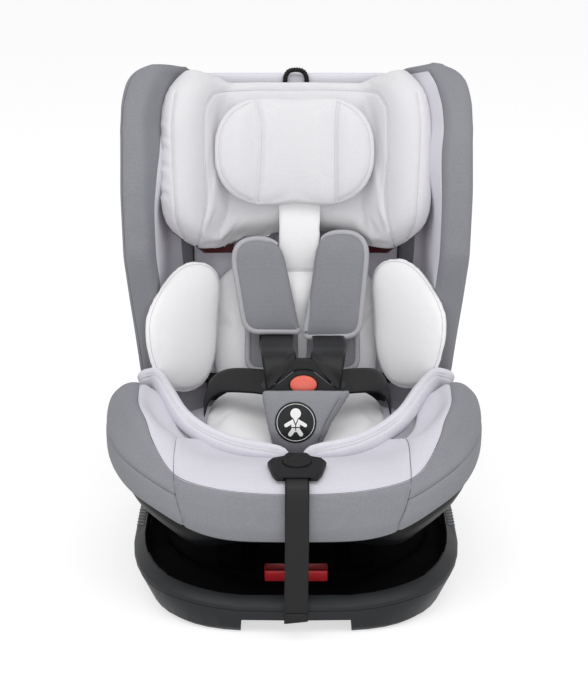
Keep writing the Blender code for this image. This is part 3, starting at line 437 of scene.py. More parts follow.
def wovenWebbing(name, look):
    # polyester seat-belt webbing: ribs along it crossed by picks, with a dull silky gloss, drawn coarse
    made, tree, shader = blankFinish(name, {"Roughness": 0.46, "Specular IOR Level": 0.32})
    woven = addNode(tree, "ShaderNodeUVMap", {"uv_map": "weave"}, {}).outputs[0]
    parts = addNode(tree, "ShaderNodeSeparateXYZ", {}, {0: woven}).outputs
    ribs = sums(tree, "MULTIPLY", parts[0], 2000 * math.pi / look["rib"])
    picks = sums(tree, "MULTIPLY", parts[1], 2000 * math.pi / look["pitch"])
    slant = sums(tree, "SINE", sums(tree, "ADD", ribs, picks))
    weave = sums(tree, "MULTIPLY_ADD", sums(tree, "SINE", ribs), 0.6, slant)
    share = spread(tree, weave, -1.6, 1.6)
    mixColour(tree, shader, share, look)
    raiseGrain(tree, shader, share, 0.5, 0.0003)
    return made


def sewingThread(name, code):
    # bonded polyester thread: two plies, slightly glossier than the cloth
    made, tree, shader = blankFinish(name, {"Roughness": 0.6, "Specular IOR Level": 0.35})
    shade = spread(tree, noise(tree, objectPlace(tree), 1600.0), 0.0, 1.0, 0.85, 1.1)
    colour = addNode(tree, "ShaderNodeMix", {"data_type": "RGBA", "blend_type": "MULTIPLY"},
                     {0: 1.0, 6: linear(code), 7: shade})
    tree.links.new(colour.outputs[2], shader.inputs["Base Color"])
    return made


def platedSteel(name, look):
    # zinc-plated steel: rolled sheet under a thin bright coat with a faint cloudy spangle
    made, tree, shader = blankFinish(name, {"Metallic": 1.0})
    where = objectPlace(tree)
    spangle = addNode(tree, "ShaderNodeTexVoronoi", {}, {"Vector": where, "Scale": 180.0})
    mixColour(tree, shader, spangle.outputs["Distance"], look)
    rough = spread(tree, noise(tree, where, 60.0, 4.0), 0.0, 1.0, 0.25, 0.5)
    tree.links.new(rough, shader.inputs["Roughness"])
    return made


finishes["blackWebbing"] = wovenWebbing("blackWebbing", webbingLook)
finishes["paleThread"] = sewingThread("paleThread", "#dcdbdf")
finishes["platedSteel"] = platedSteel("platedSteel", steelLook)
print("finishes ready:", len(finishes))

# which finish a CAD node that is shown as it is takes, by the record's slot
finishOfSlot = {"black_plastic": "grainedBlackPlastic", "white_nylon": "whiteNylon",
                "zinc_steel": "platedSteel", "red_plastic": "redAbs"}


def dress(piece, body, slot, *nodes):
    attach(piece, body)
    if nodes:
        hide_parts(*nodes)
    return piece


# Webbing

def webbing(name, points, width, across, steps=8, thick=0.0016, slant=0.0):
    # a flat strap with soft edges; slant cuts its far end askew
    path = smoothPath(points, steps)
    half = width / 2
    stripes = np.linspace(-1, 1, 13)
    marks = [half * stripe for stripe in stripes]
    rings, weave, run = [], [], 0.0
    for step, (point, side, face) in enumerate(framesAlong(path, Vector(across))):
        run += (point - path[step - 1]).length if step else 0.0
        skew = side.cross(face) * half * slant * ease(step / (len(path) - 1), 0.80, 1.0)
        top, under = [], []
        for stripe in stripes:
            edge = face * thick / 2 * math.sqrt(max(0.0, 1 - abs(stripe) ** 8))
            middle = point + (side * half + skew) * stripe
            top.append(middle + edge)
            under.append(middle - edge)
        rings.append(top + under[-2:0:-1])
        weave += [(mark, run) for mark in marks + marks[-2:0:-1]]
    points, faces = loftFaces(rings)
    piece = makePiece(name, points, faces, [finishes["blackWebbing"]])
    layer = piece.data.uv_layers.new(name="weave")
    for loop in piece.data.loops:
        layer.data[loop.index].uv = weave[loop.vertex_index]
    return piece, path


# Hanging adjuster strap: the route is the one in the CAD
adjusterStrap = {
    "width": 0.028, "thick": 0.0016, "cut": -0.11,
    # out of the adjuster, then hanging free
    "mouth": [(0, -0.0180, 0.0028), (0, -0.0330, 0.0028)],
    "hang": [(0.0012, -0.2612, 0.1880), (0.001, -0.2640, 0.168), (0.001, -0.2645, 0.130),
             (0.0005, -0.2645, 0.085), (0.0, -0.2640, 0.048), (0.0, -0.2640, 0.0245)],
    # the folded and sewn end
    "hem": [(0.0, -0.2654, 0.0345), (0.0, -0.2657, 0.0290), (0.0, -0.2657, 0.0236)], "hemThick": 0.0014,
}


def makeAdjusterStrap():
    start, nose = [adjusterPlane @ Vector(point) for point in adjusterStrap["mouth"]]
    strap, path = webbing("adjusterStrap", [start, nose] + adjusterStrap["hang"], adjusterStrap["width"],
                          (1, 0, 0), 6, adjusterStrap["thick"], adjusterStrap["cut"])
    dress(strap, "seat", "black_webbing", "adjuster_strap")
    hem, _ = webbing("adjusterStrapHem", adjusterStrap["hem"], adjusterStrap["width"] * 1.01,
                     (1, 0, 0), 4, adjusterStrap["hemThick"], adjusterStrap["cut"])
    dress(hem, "seat", "black_webbing")


makeAdjusterStrap()


# Trees that follow a path

def pathTree(name, sizes):
    tree = bpy.data.node_groups.new(name, "GeometryNodeTree")
    tree.interface.new_socket("Geometry", in_out="INPUT", socket_type="NodeSocketGeometry")
    for label in sizes:
        tree.interface.new_socket(label, in_out="INPUT", socket_type="NodeSocketFloat")
    tree.interface.new_socket("finish", in_out="INPUT", socket_type="NodeSocketMaterial")
    tree.interface.new_socket("Geometry", in_out="OUTPUT", socket_type="NodeSocketGeometry")
    given = addNode(tree, "NodeGroupInput", {}, {}).outputs
    line = addNode(tree, "GeometryNodeMeshToCurve", {}, {"Mesh": given["Geometry"]}).outputs[0]
    return tree, given, line


def closeTree(tree, given, grown):
    whole = addNode(tree, "GeometryNodeRealizeInstances", {}, {"Geometry": grown}).outputs[0]
    coated = addNode(tree, "GeometryNodeSetMaterial", {}, {"Geometry": whole, "Material": given["finish"]})
    addNode(tree, "NodeGroupOutput", {}, {"Geometry": coated.outputs[0]})
    return tree


def circle(tree, corners, radius):
    settings = {"Resolution": corners, "Radius": radius}
    return addNode(tree, "GeometryNodeCurvePrimitiveCircle", {}, settings).outputs[0]


def sweep(tree, line, ring, caps):
    settings = {"Curve": line, "Profile Curve": ring, "Fill Caps": caps}
    return addNode(tree, "GeometryNodeCurveToMesh", {}, settings).outputs[0]


def layCopies(tree, line, pitch, thing):
    spots = addNode(tree, "GeometryNodeCurveToPoints", {"mode": "LENGTH"},
                    {"Curve": line, "Length": pitch}).outputs
    settings = {"Points": spots["Points"], "Instance": thing, "Rotation": spots["Rotation"]}
    return addNode(tree, "GeometryNodeInstanceOnPoints", {}, settings).outputs[0]


def shadeSmooth(tree, form):
    return addNode(tree, "GeometryNodeSetShadeSmooth", {}, {"Geometry": form}).outputs[0]


def stitchRow():
    # short threads laid end to end along a seam
    tree, given, line = pathTree("stitchRow", ("pitch", "length", "thickness"))
    bead = addNode(tree, "GeometryNodeMeshUVSphere", {},
                   {"Segments": 6, "Rings": 4, "Radius": 0.5}).outputs[0]
    size = addNode(tree, "ShaderNodeCombineXYZ", {},
                   {0: given["thickness"], 1: given["thickness"], 2: given["length"]}).outputs[0]
    thread = addNode(tree, "GeometryNodeTransform", {}, {"Geometry": bead, "Scale": size}).outputs[0]
    return closeTree(tree, given, layCopies(tree, line, given["pitch"], thread))


def pipedEdge():
    # a round cord sewn into an edge
    tree, given, line = pathTree("pipedEdge", ("radius",))
    swept = sweep(tree, line, circle(tree, 8, given["radius"]), True)
    return closeTree(tree, given, shadeSmooth(tree, swept))


def ribbedLoop():
    # a moulded loop with raised ribs along it
    tree, given, line = pathTree("ribbedLoop", ("radius", "rib", "pitch"))
    ring = circle(tree, 14, given["radius"])
    rib = sweep(tree, ring, circle(tree, 6, given["rib"]), False)
    both = addNode(tree, "GeometryNodeJoinGeometry", {}, {"Geometry": sweep(tree, line, ring, True)})
    tree.links.new(layCopies(tree, line, given["pitch"], rib), both.inputs[0])
    return closeTree(tree, given, shadeSmooth(tree, both.outputs[0]))


pathTrees = {"stitchRow": stitchRow(), "pipedEdge": pipedEdge(), "ribbedLoop": ribbedLoop()}


def growAlong(name, paths, treeName, sizes, finish):
    # runs a tree along some lines and keeps what it grows as a plain mesh
    points, edges = [], []
    for path in paths:
        start = len(points)
        points += [tuple(point) for point in path]
        edges += [(start + step, start + step + 1) for step in range(len(path) - 1)]
    mesh = bpy.data.meshes.new(name)
    mesh.from_pydata(points, edges, [])
    piece = addObject(name, mesh)
    tree = pathTrees[treeName]
    modifier = piece.modifiers.new(treeName, "NODES")
    modifier.node_group = tree
    values = dict(sizes, finish=finishes[finish])
    for item in tree.interface.items_tree:
        if item.in_out == "INPUT" and item.name in values:
            modifier[item.identifier] = values[item.name]
    return settle(piece)


# Padded pieces

def ovalOutline(halfWidth, halfHeight, square, sides=72):
    return np.array([(halfWidth * power(math.cos(a), 2 / square), halfHeight * power(math.sin(a), 2 / square))
                     for a in around(sides)])


def roundedOutline(corners, count=120):
    # evenly spaced points round an outline; each corner is (u, v, how far from it the rounding starts)
    line = []
    for index, (u, v, start) in enumerate(corners):
        here = np.array((u, v))
        ends = [np.array(corners[other][:2]) for other in (index - 1, (index + 1) % len(corners))]
        first, last = [here + (end - here) * start / np.linalg.norm(end - here) for end in ends]
        line += [first * (1 - t) ** 2 + here * 2 * t * (1 - t) + last * t ** 2 for t in np.linspace(0, 1, 9)]
    return evenPath(line + line[:1], count + 1)[:-1]


def cushionRings(place, outline, front, back, edge, rows=14):
    # rings of a crowned pad from its back over its rim to its front
    middle = outline.mean(axis=0)
    rings = []
    for row in range(-rows, rows + 1):
        lift = math.sin(row / rows * math.pi / 2)
        wide = math.cos(row / rows * math.pi / 2) ** edge if abs(row) < rows else 0.0
        depth = lift * (front if lift > 0 else back)
        spots = middle + (outline - middle) * wide if wide else [middle]
        rings.append([place(*spot, depth) for spot in spots])
    return rings


def relaxSkin(piece, rounding):
    relax = piece.modifiers.new("relax", "SMOOTH")
    relax.factor = 0.5
    relax.iterations = rounding
    return settle(piece)


def evenOut(piece, voxel, rounding):
    even = piece.modifiers.new("even", "REMESH")
    even.mode = "VOXEL"
    even.voxel_size = voxel
    return relaxSkin(piece, rounding)


def softPiece(name, forms, finish, voxel, rounding):
    # one or more closed forms joined and evened out into one skin
    points, faces = [], []
    for form in forms:
        more, sides = loftFaces(form)
        faces += [tuple(corner + len(points) for corner in side) for side in sides]
        points += more
    return evenOut(makePiece(name, points, faces, [finish]), voxel, rounding)


# the cover's cloth, the frames it settles over and how near a seam it is held
wadding = {"quality": 5, "mass": 0.3, "stretch": 12, "shear": 5, "bending": 0.4, "frames": 20, "held": 0.0035}


def fillWadding(piece, pressure, cap, seams, inset):
    # presses the cover out from inside, held along its seams, and keeps the shape
    mesh = piece.data
    rest = readPoints(mesh) - readNormals(mesh) * inset
    writePoints(mesh, rest)
    held = piece.vertex_groups.new(name="held")
    if seams:
        near = np.nonzero(seamGap(rest, seams) < wadding["held"])[0]
        held.add([int(index) for index in near], 1.0, "ADD")
    cloth = piece.modifiers.new("wadding", "CLOTH")
    sewn = cloth.settings
    sewn.quality = wadding["quality"]
    sewn.mass = wadding["mass"]
    sewn.tension_stiffness = wadding["stretch"]
    sewn.compression_stiffness = wadding["stretch"]
    sewn.shear_stiffness = wadding["shear"]
    sewn.bending_stiffness = wadding["bending"]
    sewn.use_pressure = True
    sewn.uniform_pressure_force = pressure
    sewn.effector_weights.gravity = 0
    sewn.vertex_group_mass = "held"
    cloth.point_cache.frame_start = 1
    cloth.point_cache.frame_end = wadding["frames"]
    for step in range(1, wadding["frames"] + 1):
        scene.frame_set(step)
    graph = bpy.context.evaluated_depsgraph_get()
    shift = readPoints(piece.evaluated_get(graph).data) - rest
    far = np.linalg.norm(shift, axis=1, keepdims=True)
    writePoints(mesh, rest + shift * np.minimum(1.0, cap / np.maximum(far, 1e-9)))
    piece.modifiers.clear()
    piece.vertex_groups.clear()
    scene.frame_set(1)


def refineSkin(piece):
    finer = piece.modifiers.new("finer", "SUBSURF")
    finer.levels = finer.render_levels = 1
    return relaxSkin(piece, 2)


def upholster(piece, laySeams, pressure, cap, inset):
    # fills a pad between its seams, and lays the seams on it again
    fillWadding(piece, pressure, cap, laySeams(piece), inset)
    refineSkin(piece)
    return laySeams(piece)


def curvedLine(pairs):
    return [(point.x, point.y) for point in smoothPath([(x, up, 0) for x, up in pairs], 10)]


def mirrorPairs(pairs):
    return [(-x, up) for x, up in pairs]


def backSeams(lines):
    # seams drawn on the back plane, to lay on a pad
    drawn = [[backPlane @ Vector((x, up, 0.1)) for x, up in line] for line in lines]
    return lambda pad: [layOn(pad, line, -backOut) for line in drawn]


stitchLines, seamShadeLines = [], {}


def noteSeamShade(body, cloth, paths):
    # darker cords along the seams: painted shade for the shadow in each seam's groove
    seamShadeLines.setdefault((body, cloth), []).extend(path for path in paths if len(path) > 2)


# Seat cover: sections run from the hem up the outer wall, over the crest and back along the shell
seatCover = {
    "halfWidth": 0.2295, "front": 0.197, "centre": -0.060, "square": 2.8, "tail": 0.125, "stations": 300,
    # heights in the middle of the front; how much the hem rises, and between which turns of the path
    "hem": 0.1135, "hemRises": [(0.0265, 10, 50), (0.022, 45, 90), (0.009, 20, 60)],
    "seam": 0.188, "seamRise": 0.042, "crest": 0.2015, "crestRise": 0.0505,
    # how far the crest and the flap inside it reach in, and the flap's fall under the front rolls
    "deep": 0.074, "sideLess": 0.022, "flap": 0.030, "cornerFlap": 0.016, "cornerLift": 0.009,
    "rollFall": 0.012,
    # samples up to the border seam, to the colour line and to the inner edge, and back along the shell
    "counts": (22, 22, 36), "under": 30,
    # where grey meets lavender, in metres up the section, against the place along the cover
    "colourLine": [(0, 0.0660), (0.07, 0.0690), (0.15, 0.0705), (0.20, 0.0680), (0.25, 0.0645),
                   (0.30, 0.0685), (0.35, 0.0790), (0.42, 0.0965), (0.48, 0.1080), (0.54, 0.1120),
                   (0.60, 0.1125), (0.66, 0.1115), (0.72, 0.108), (0.80, 0.098), (1.0, 0.080)],
    # where a corner seam crosses the sections, from the hem inwards
    "cornerSeam": {"left": [(1, 0.224), (10, 0.217), (16, 0.231), (22, 0.238), (34, 0.245), (40, 0.251),
                            (43, 0.257), (46, 0.266), (49, 0.282), (52, 0.300), (55, 0.331), (58, 0.380),
                            (61, 0.420), (64, 0.465)],
                   "right": [(1, 0.191), (10, 0.186), (16, 0.204), (22, 0.212), (31, 0.219), (40, 0.224),
                             (43, 0.228), (46, 0.236), (49, 0.245), (52, 0.258), (55, 0.278), (58, 0.304),
                             (61, 0.342), (64, 0.380), (67, 0.431)]},
    "borderSeam": 0.047, "pull": 0.0016, "leftFuller": 0.005,
}


def coverPath(u):
    side = math.copysign(1.0, u)
    turn = min(abs(u) / 0.7, 1.0) * math.pi / 2
    tail = max(0.0, (abs(u) - 0.7) / 0.3)
    x = side * seatCover["halfWidth"] * math.sin(turn) ** (2 / seatCover["square"]) * (1 - 0.02 * tail)
    y = seatCover["centre"] - seatCover["front"] * max(0.0, math.cos(turn)) ** (2 / seatCover["square"])
    return np.array((x, y + seatCover["tail"] * tail)), math.degrees(turn), tail


def coverInward(u):
    # the level direction from the path into the seat
    run = coverPath(min(1.0, u + 0.004))[0] - coverPath(max(-1.0, u - 0.004))[0]
    run /= np.linalg.norm(run)
    return np.array((-run[1], run[0]))


def coverSection(u):
    here, turn, tail = coverPath(u)
    inward = coverInward(u)
    hem = sum((rise * ease(turn, start, end) for rise, start, end in seatCover["hemRises"]), seatCover["hem"])
    seam = seatCover["seam"] + seatCover["seamRise"] * ease(turn, 30, 90) - 0.030 * tail
    crest = seatCover["crest"] + seatCover["crestRise"] * ease(turn, 20, 78) - 0.049 * ease(tail, 0, 0.8)
    deep = seatCover["deep"] - seatCover["sideLess"] * ease(turn, 30, 85)
    corner = ease(turn, 8, 26) * (1 - ease(turn, 50, 64))
    flap = seatCover["flap"] * (1 - ease(tail, 0.35, 0.8)) + seatCover["cornerFlap"] * corner
    front = 1 - ease(turn, 25, 60)
    fall = seatCover["rollFall"] * ease(turn, 45, 60) * (1 - ease(turn, 74, 90))
    edge = crest - 0.0110 - 0.6 * flap + front * (0.003 + 0.45 * flap) - fall
    edge += seatCover["cornerLift"] * corner
    wall = seam - hem
    full = 0.006 * ease(turn, 35, 85)
    tip = (deep + flap - 0.003, edge - 0.0080)
    outside = [(0.0105, hem), (0.0005, hem + 0.3 * wall), (0.0, hem + 0.65 * wall),
               (0.003 - 0.2 * full, seam - 0.004 + full), (0.011 - 0.4 * full, seam + 0.003 + full),
               (0.36 * deep, crest - 0.0045 + 0.3 * full), (0.62 * deep, crest),
               (0.86 * deep, crest - 0.0050 + 0.003 * front - 0.4 * fall),
               (deep, crest - 0.0110 + 0.007 * front - fall), (deep + flap, edge), tip]
    inside = [tip, (0.9 * deep, crest - 0.0190), (0.6 * deep, crest - 0.0155), (0.36 * deep, crest - 0.0195),
              (0.0165, seam - 0.012), (0.0150, hem + 0.5 * wall), (0.0185, hem + 0.003), (0.0105, hem)]
    return [[(*(here + inward * inset), z) for inset, z in side] for side in (outside, inside)]


def makeSeatCover():
    counts, under = seatCover["counts"], seatCover["under"]
    borderRow, colourRow, outer = np.cumsum(counts)
    total = outer + under
    places = np.linspace(-1, 1, seatCover["stations"])
    rows = []
    for u in places:
        outside, inside = coverSection(u)
        cuts = (seatCover["borderSeam"], between(seatCover["colourLine"], abs(u)))
        rows.append(np.concatenate([splitLine(outside, cuts, counts), splitLine(inside, (), (under,))]))
    net = np.array(rows)
    net[..., 0] -= seatCover["leftFuller"] * np.clip((-net[..., 0] - 0.15) / 0.07, 0, 1)
    net = relaxNet(relaxNet(net, 1, 2.2, True), 0, 4.0, False)
    faces = netFaces(len(net), int(total))
    walls = (len(net) - 1) * total
    marks = [int(index < walls and colourRow <= index % total < outer + 4) for index in range(len(faces))]
    looks = [finishes["greyKnit"], finishes["coverLavender"]]
    piece = makePiece("seatCover", net.reshape(-1, 3), faces, looks, marks)
    seams = [net[12:-12:2, colourRow]]
    for side, name in bothSides:
        crossing = seatCover["cornerSeam"][name]
        corner = []
        for step in range(1, crossing[-1][0]):
            spot = (side * between(crossing, step) + 1) / 2 * (len(net) - 1)
            row = int(spot)
            corner.append(Vector(net[row, step]).lerp(Vector(net[row + 1, step]), spot - row))
        start = between(crossing, borderRow) - 0.003
        border = [net[row, borderRow] for row in range(len(net)) if start < side * places[row] < 0.96][::2]
        seams += [relaxNet(evenPath(corner, 60), 0, 2.0, False), border]
    seams = [[Vector(point) for point in seam] for seam in seams]
    sewIn(piece, seams, seatCover["pull"], 0.0024)
    dress(piece, "seat", "grey_knit", "seat_cover")
    noteSeamShade("seat", "greySeam", sunkSeams(piece, seams))


makeSeatCover()
print("seat cover sewn")


# Wings: sections run along the outside, round the front edge and back along the lining
wings = {
    "corner": 0.050, "lean": math.radians(7), "shellFront": -0.016, "skin": 0.0100, "depth": 0.028,
    "rows": (80, 60), "counts": (32, 28, 36, 8), "pull": 0.0012,
    "lowest": -0.0072, "finer": 0.29, "top": 0.4045,
    # how much the top draws in, from which heights, and how full it is before that
    "crown": 0.0185, "crownStarts": (0.381, 0.399), "fuller": 0.0085,
    # how far from the middle of the front edge the piping runs outside
    "piping": {"left": 0.0155, "right": 0.040},
    # and the lining starts inside, against the height; the left wing is grey over its top
    "lining": {"left": [(0.0, 0.053), (0.22, 0.053), (0.27, 0.050), (0.32, 0.070), (0.36, 0.120)],
               "right": [(0.0, 0.028), (0.38, 0.028)]}, "liningTop": 0.396,
    # behind the headrest the cover runs on to the back panel
    "root": [(0.141, 0.0075), (0.137, 0.0035), (0.137, -0.0145)],
}
backHalf = [(-0.01, 0.142), (0.03, 0.1445), (0.10, 0.147), (0.32, 0.146), (0.40, 0.133)]
wingReach = [(-0.01, 0.040), (0.03, 0.054), (0.06, 0.070), (0.10, 0.094), (0.16, 0.136), (0.24, 0.154),
             (0.31, 0.153), (0.350, 0.142), (0.380, 0.122), (0.400, 0.096)]


def bentLine(centre, radius, lean, reach, start):
    # round a corner and along a leaning wall to its tip at reach, as (x, out)
    rise = min(-math.sin(lean), (reach - 0.002 - centre[1]) / radius)
    end = math.degrees(math.asin(rise))
    points = []
    for step in range(13):
        angle = math.radians(start + (end - start) * step / 12)
        points.append((centre[0] + radius * math.cos(angle), centre[1] + radius * math.sin(angle)))
    x, out = points[-1]
    return points + [(x + (reach - out) * math.tan(lean), reach)]


def wingLine(up, offset, reach):
    centre = (between(backHalf, up), wings["shellFront"] + wings["corner"])
    return bentLine(centre, wings["corner"] - offset, wings["lean"], reach, -74)


def wingRing(up, side, name):
    low = 0.004 * ease(-up, -0.004, 0.0072)
    risen = [max(0.0, (up - start) / (wings["top"] - start)) for start in wings["crownStarts"]]
    high = [1 - math.sqrt(max(0.0, 1 - part ** 2)) for part in risen]
    reach = between(wingReach, up) - low - 0.006 * high[0]
    skin = wings["skin"] + wings["fuller"] * ease(up, 0.305, 0.375)
    outside = wingLine(up, low + wings["crown"] * high[0] - skin, reach + 0.003)
    thick = wings["depth"] - 0.009 * ease(up, 0.28, 0.36) - low - 0.004 * high[1]
    # beside the headrest the padding fills in towards the back panel
    full = 0.34 * ease(up, 0.21, 0.28)
    inside = [(max(0.1415, x - full * max(0.0, 0.108 - out)), out)
              for x, out in wingLine(up, thick, reach + 0.003)]
    tip = [(outside[-1][0] - 0.006, reach + 0.0105), (inside[-1][0] + 0.006, reach + 0.0105)]
    section = outside + tip + inside[::-1] + wings["root"]
    line = [backPlane @ Vector((side * x, up, out)) for x, out in section]
    gaps = [(b - a).length for a, b in zip(line, line[1:])]
    middle = sum(gaps[:len(outside)]) + gaps[len(outside)] / 2
    cuts = (middle - wings["piping"][name], middle + between(wings["lining"][name], up))
    ring = splitLine(line, cuts, wings["counts"][:3])
    return np.concatenate([ring, splitLine([line[-1], line[0]], (), wings["counts"][3:])])


def crownRows(row, lift):
    # closes the top of a net with rows that draw in to the middle of its section
    middle = (row + row[::-1]) / 2
    up = np.array(backPlane.to_3x3() @ Vector((0, 1, 0)))
    return [row + (middle - row) * share + up * lift * math.sqrt(1 - (1 - share) ** 2)
            for share in (0.1, 0.25, 0.5, 0.8)]


def makeWing(side, name):
    few, many = wings["rows"]
    heights = np.concatenate([np.linspace(wings["lowest"], wings["finer"], few, endpoint=False),
                              np.linspace(wings["finer"], wings["top"], many)])
    rows = [wingRing(up, side, name) for up in heights]
    net = relaxNet(relaxNet(np.array(rows), 1, 1.6, True), 0, 1.7, False)
    net = np.concatenate([net, crownRows(net[-1], 0.0030)])
    total = sum(wings["counts"])
    faces = netFaces(len(net), total)
    first, second, third = np.cumsum(wings["counts"])[:3]
    lined = int(np.searchsorted(heights, wings["liningTop"])) * total
    marks = [int(index < lined and second <= index % total < third - 9) for index in range(len(faces))]
    looks = [finishes["greyKnit"], finishes["lavenderKnit"]]
    piece = makePiece(f"wingCover.{name}", net.reshape(-1, 3), faces, looks, marks)
    seams = [[Vector(net[row, column]) for row in range(2, few + many - 6)] for column in (first, second)]
    sewIn(piece, seams, wings["pull"], 0.0024)
    dress(piece, "seat", "grey_knit", f"wing_cover_{name}", f"wing_foam_{name}")
    noteSeamShade("seat", "greySeam", sunkSeams(piece, seams))


for side, name in bothSides:
    makeWing(side, name)
print("wings covered")


# Headrest
headrest = {
    "flat": 0.077, "corner": 0.050, "lean": math.radians(30), "backFace": 0.0092, "wall": 0.004,
    "heights": (0.1622, 0.391), "voxel": 0.0042, "fuller": 0.0085,
    "panelSeam": [(0.0, 0.3776), (0.055, 0.3776), (0.0985, 0.3735), (0.1105, 0.362), (0.1165, 0.343),
                  (0.117, 0.290), (0.114, 0.233), (0.120, 0.197), (0.129, 0.172)],
    "edgeSeam": [(0.1538, 0.3690), (0.1576, 0.3317), (0.1563, 0.2768), (0.1537, 0.2306), (0.1522, 0.2052),
                 (0.1440, 0.182)],
}
headReach = [(0.162, 0.042), (0.169, 0.054), (0.185, 0.088), (0.203, 0.104), (0.230, 0.112), (0.330, 0.112),
             (0.360, 0.101), (0.378, 0.080), (0.393, 0.056)]
headPad = [(0.162, 0.014), (0.168, 0.026), (0.190, 0.031), (0.345, 0.031), (0.370, 0.029), (0.391, 0.014)]
gathers = {"edge": -0.169, "width": 0.009, "heights": (0.215, 0.345), "pitches": (0.019, 0.0117),
           "deep": 0.0007}
headrestLip = {"radius": 0.0019, "sunk": 0.0011, "heights": (0.192, 0.1635), "foot": (0.1615, 0.030),
               "inner": 0.098}


def headLine(offset, reach):
    centre = (headrest["flat"], headrest["backFace"] + headrest["wall"] + headrest["corner"])
    bent = bentLine(centre, headrest["corner"] - offset, headrest["lean"], reach, -90)
    return [(0.0, centre[1] - headrest["corner"] + offset)] + bent


def headPlace(x, up, out):
    # the top dips in the middle; the foot is arched for the harness and shows the lip of the shell beside it
    wide = abs(x)
    high, low = ease(up, 0.300, 0.385), 1 - ease(up, 0.162, 0.240)
    lift = high * (0.0135 * ease(wide, 0.075, 0.130) - 0.011 * (1 - ease(wide, 0.020, 0.100)))
    lift += low * (0.0045 + 0.0195 * (1 - ease(wide, 0.078, 0.090)) + 0.016 * (1 - ease(wide, 0.026, 0.036)))
    fuller = math.copysign(headrest["fuller"] * ease(wide, 0.09, 0.16), x)
    return backPlane @ Vector((x + fuller, up + lift, out))


def headRing(up):
    # the pad inside the shell, rolled round the shell's front edges
    wall = headrest["wall"]
    reach = between(headReach, up) - 0.012
    face = headLine(between(headPad, up), reach + 0.010)
    skin = headLine(-wall - 0.0045, reach + 0.008)
    lined = headLine(0.0018, reach + 0.0006)
    tip = [(face[-1][0] + 0.35 * (skin[-1][0] - face[-1][0]), reach + 0.022),
           (face[-1][0] + 0.75 * (skin[-1][0] - face[-1][0]), reach + 0.019)]
    deep = min(0.022, 0.6 * (reach - 0.018))
    slope = math.tan(headrest["lean"])
    wrap = [skin[-1], (skin[-1][0] - (deep + 0.008) * slope, reach - deep)]
    under = headLine(-wall - 0.0018, reach + 0.0006)[-1]
    tuck = [(under[0] - (deep + 0.0006) * slope, reach - deep), under]
    half = face + tip + wrap + tuck + lined[::-1]
    ring = [headPlace(side * x, up, out) for side, line in ((-1, half[::-1]), (1, half)) for x, out in line]
    return evenPath(ring + ring[:1], 241)[:-1]


def gatherEdge(cover):
    # elastic gathers where the cover is drawn round the left edge
    points = readPoints(cover.data)
    x, up = (np.array(backPlane.inverted()) @ np.c_[points, np.ones(len(points))].T)[:2]
    low, high = gathers["heights"]
    band = np.exp(-((x - gathers["edge"]) / gathers["width"]) ** 2)
    band = band * np.clip((up - low) / 0.02, 0, 1) * np.clip((high - up) / 0.03, 0, 1)
    wide, tight = [up * 2 * math.pi / pitch for pitch in gathers["pitches"]]
    waves = np.sin(wide + x * 220) + 0.5 * np.sin(tight + x * 150 + 1)
    writePoints(cover.data, points + readNormals(cover.data) * (gathers["deep"] * band * waves)[:, None])


def makeHeadrestLip(cover):
    # the rim of the maroon shell shows round the lower corners
    surface = surfaceOf(cover)
    foot, footOut = headrestLip["foot"]
    rims = []
    for side in (-1, 1):
        edge = []
        for up in np.linspace(*headrestLip["heights"], 18):
            reach = between(headReach, up)
            edge.append((side * headLine(-headrest["wall"], reach)[-1][0], up, reach - 0.012))
        inwards = np.linspace(edge[-1][0] * side, headrestLip["inner"], 8)[1:]
        edge += [(side * x, foot, footOut) for x in inwards]
        rim = []
        for x, up, out in edge:
            away = backPlane.to_3x3() @ Vector((x, (up - 0.262) * 1.5, 0)).normalized()
            hit = surface.ray_cast(backPlane @ Vector((x, up, out)) + away * 0.05, -away)[0]
            if hit:
                rim.append(hit - away * headrestLip["sunk"])
        rims.append(relaxNet(np.array(rim), 0, 2.0, False))
    lip = growAlong("headrestLip", rims, "pipedEdge", {"radius": headrestLip["radius"]},
                    "maroonPolypropylene")
    dress(lip, "headrest", "maroon_plastic")


def makeHeadrestCover():
    rings = [headRing(up) for up in np.linspace(*headrest["heights"], 70)]
    net = relaxNet(relaxNet(np.array(rings), 0, 2.5, False), 1, 1.5, True)
    cover = softPiece("headrestCover", [list(net)], finishes["offWhiteKnit"], headrest["voxel"], 5)
    panel = mirrorPairs(headrest["panelSeam"][:0:-1]) + headrest["panelSeam"]
    lines = (panel, headrest["edgeSeam"], mirrorPairs(headrest["edgeSeam"]))
    laySeams = backSeams([curvedLine(line) for line in lines])
    seams = upholster(cover, laySeams, 2.5, 0.003, 0.0015)
    sewIn(cover, seams, 0.0019, 0.0024)
    gatherEdge(cover)
    dress(cover, "headrest", "off_white_knit", "headrest_cover")
    noteSeamShade("headrest", "paleSeam", laySeams(cover))
    makeHeadrestLip(cover)


makeHeadrestCover()

headPillow = {
    "half": (0.1070, 0.0805), "square": 2.5, "front": 0.0205, "back": 0.0105, "voxel": 0.0038,
    "middle": -0.0018, "up": 0.296, "out": 0.0578,
    # a seam runs inside the edge of each side lobe
    "rim": (0.0975, 0.0710), "rimFrom": 0.054,
    "panelSeams": [[(-0.050, 0.364), (-0.0455, 0.334), (-0.0445, 0.308), (-0.046, 0.270), (-0.049, 0.230)],
                   [(0.0535, 0.364), (0.0503, 0.334), (0.0500, 0.291), (0.0503, 0.257), (0.051, 0.230)]],
}


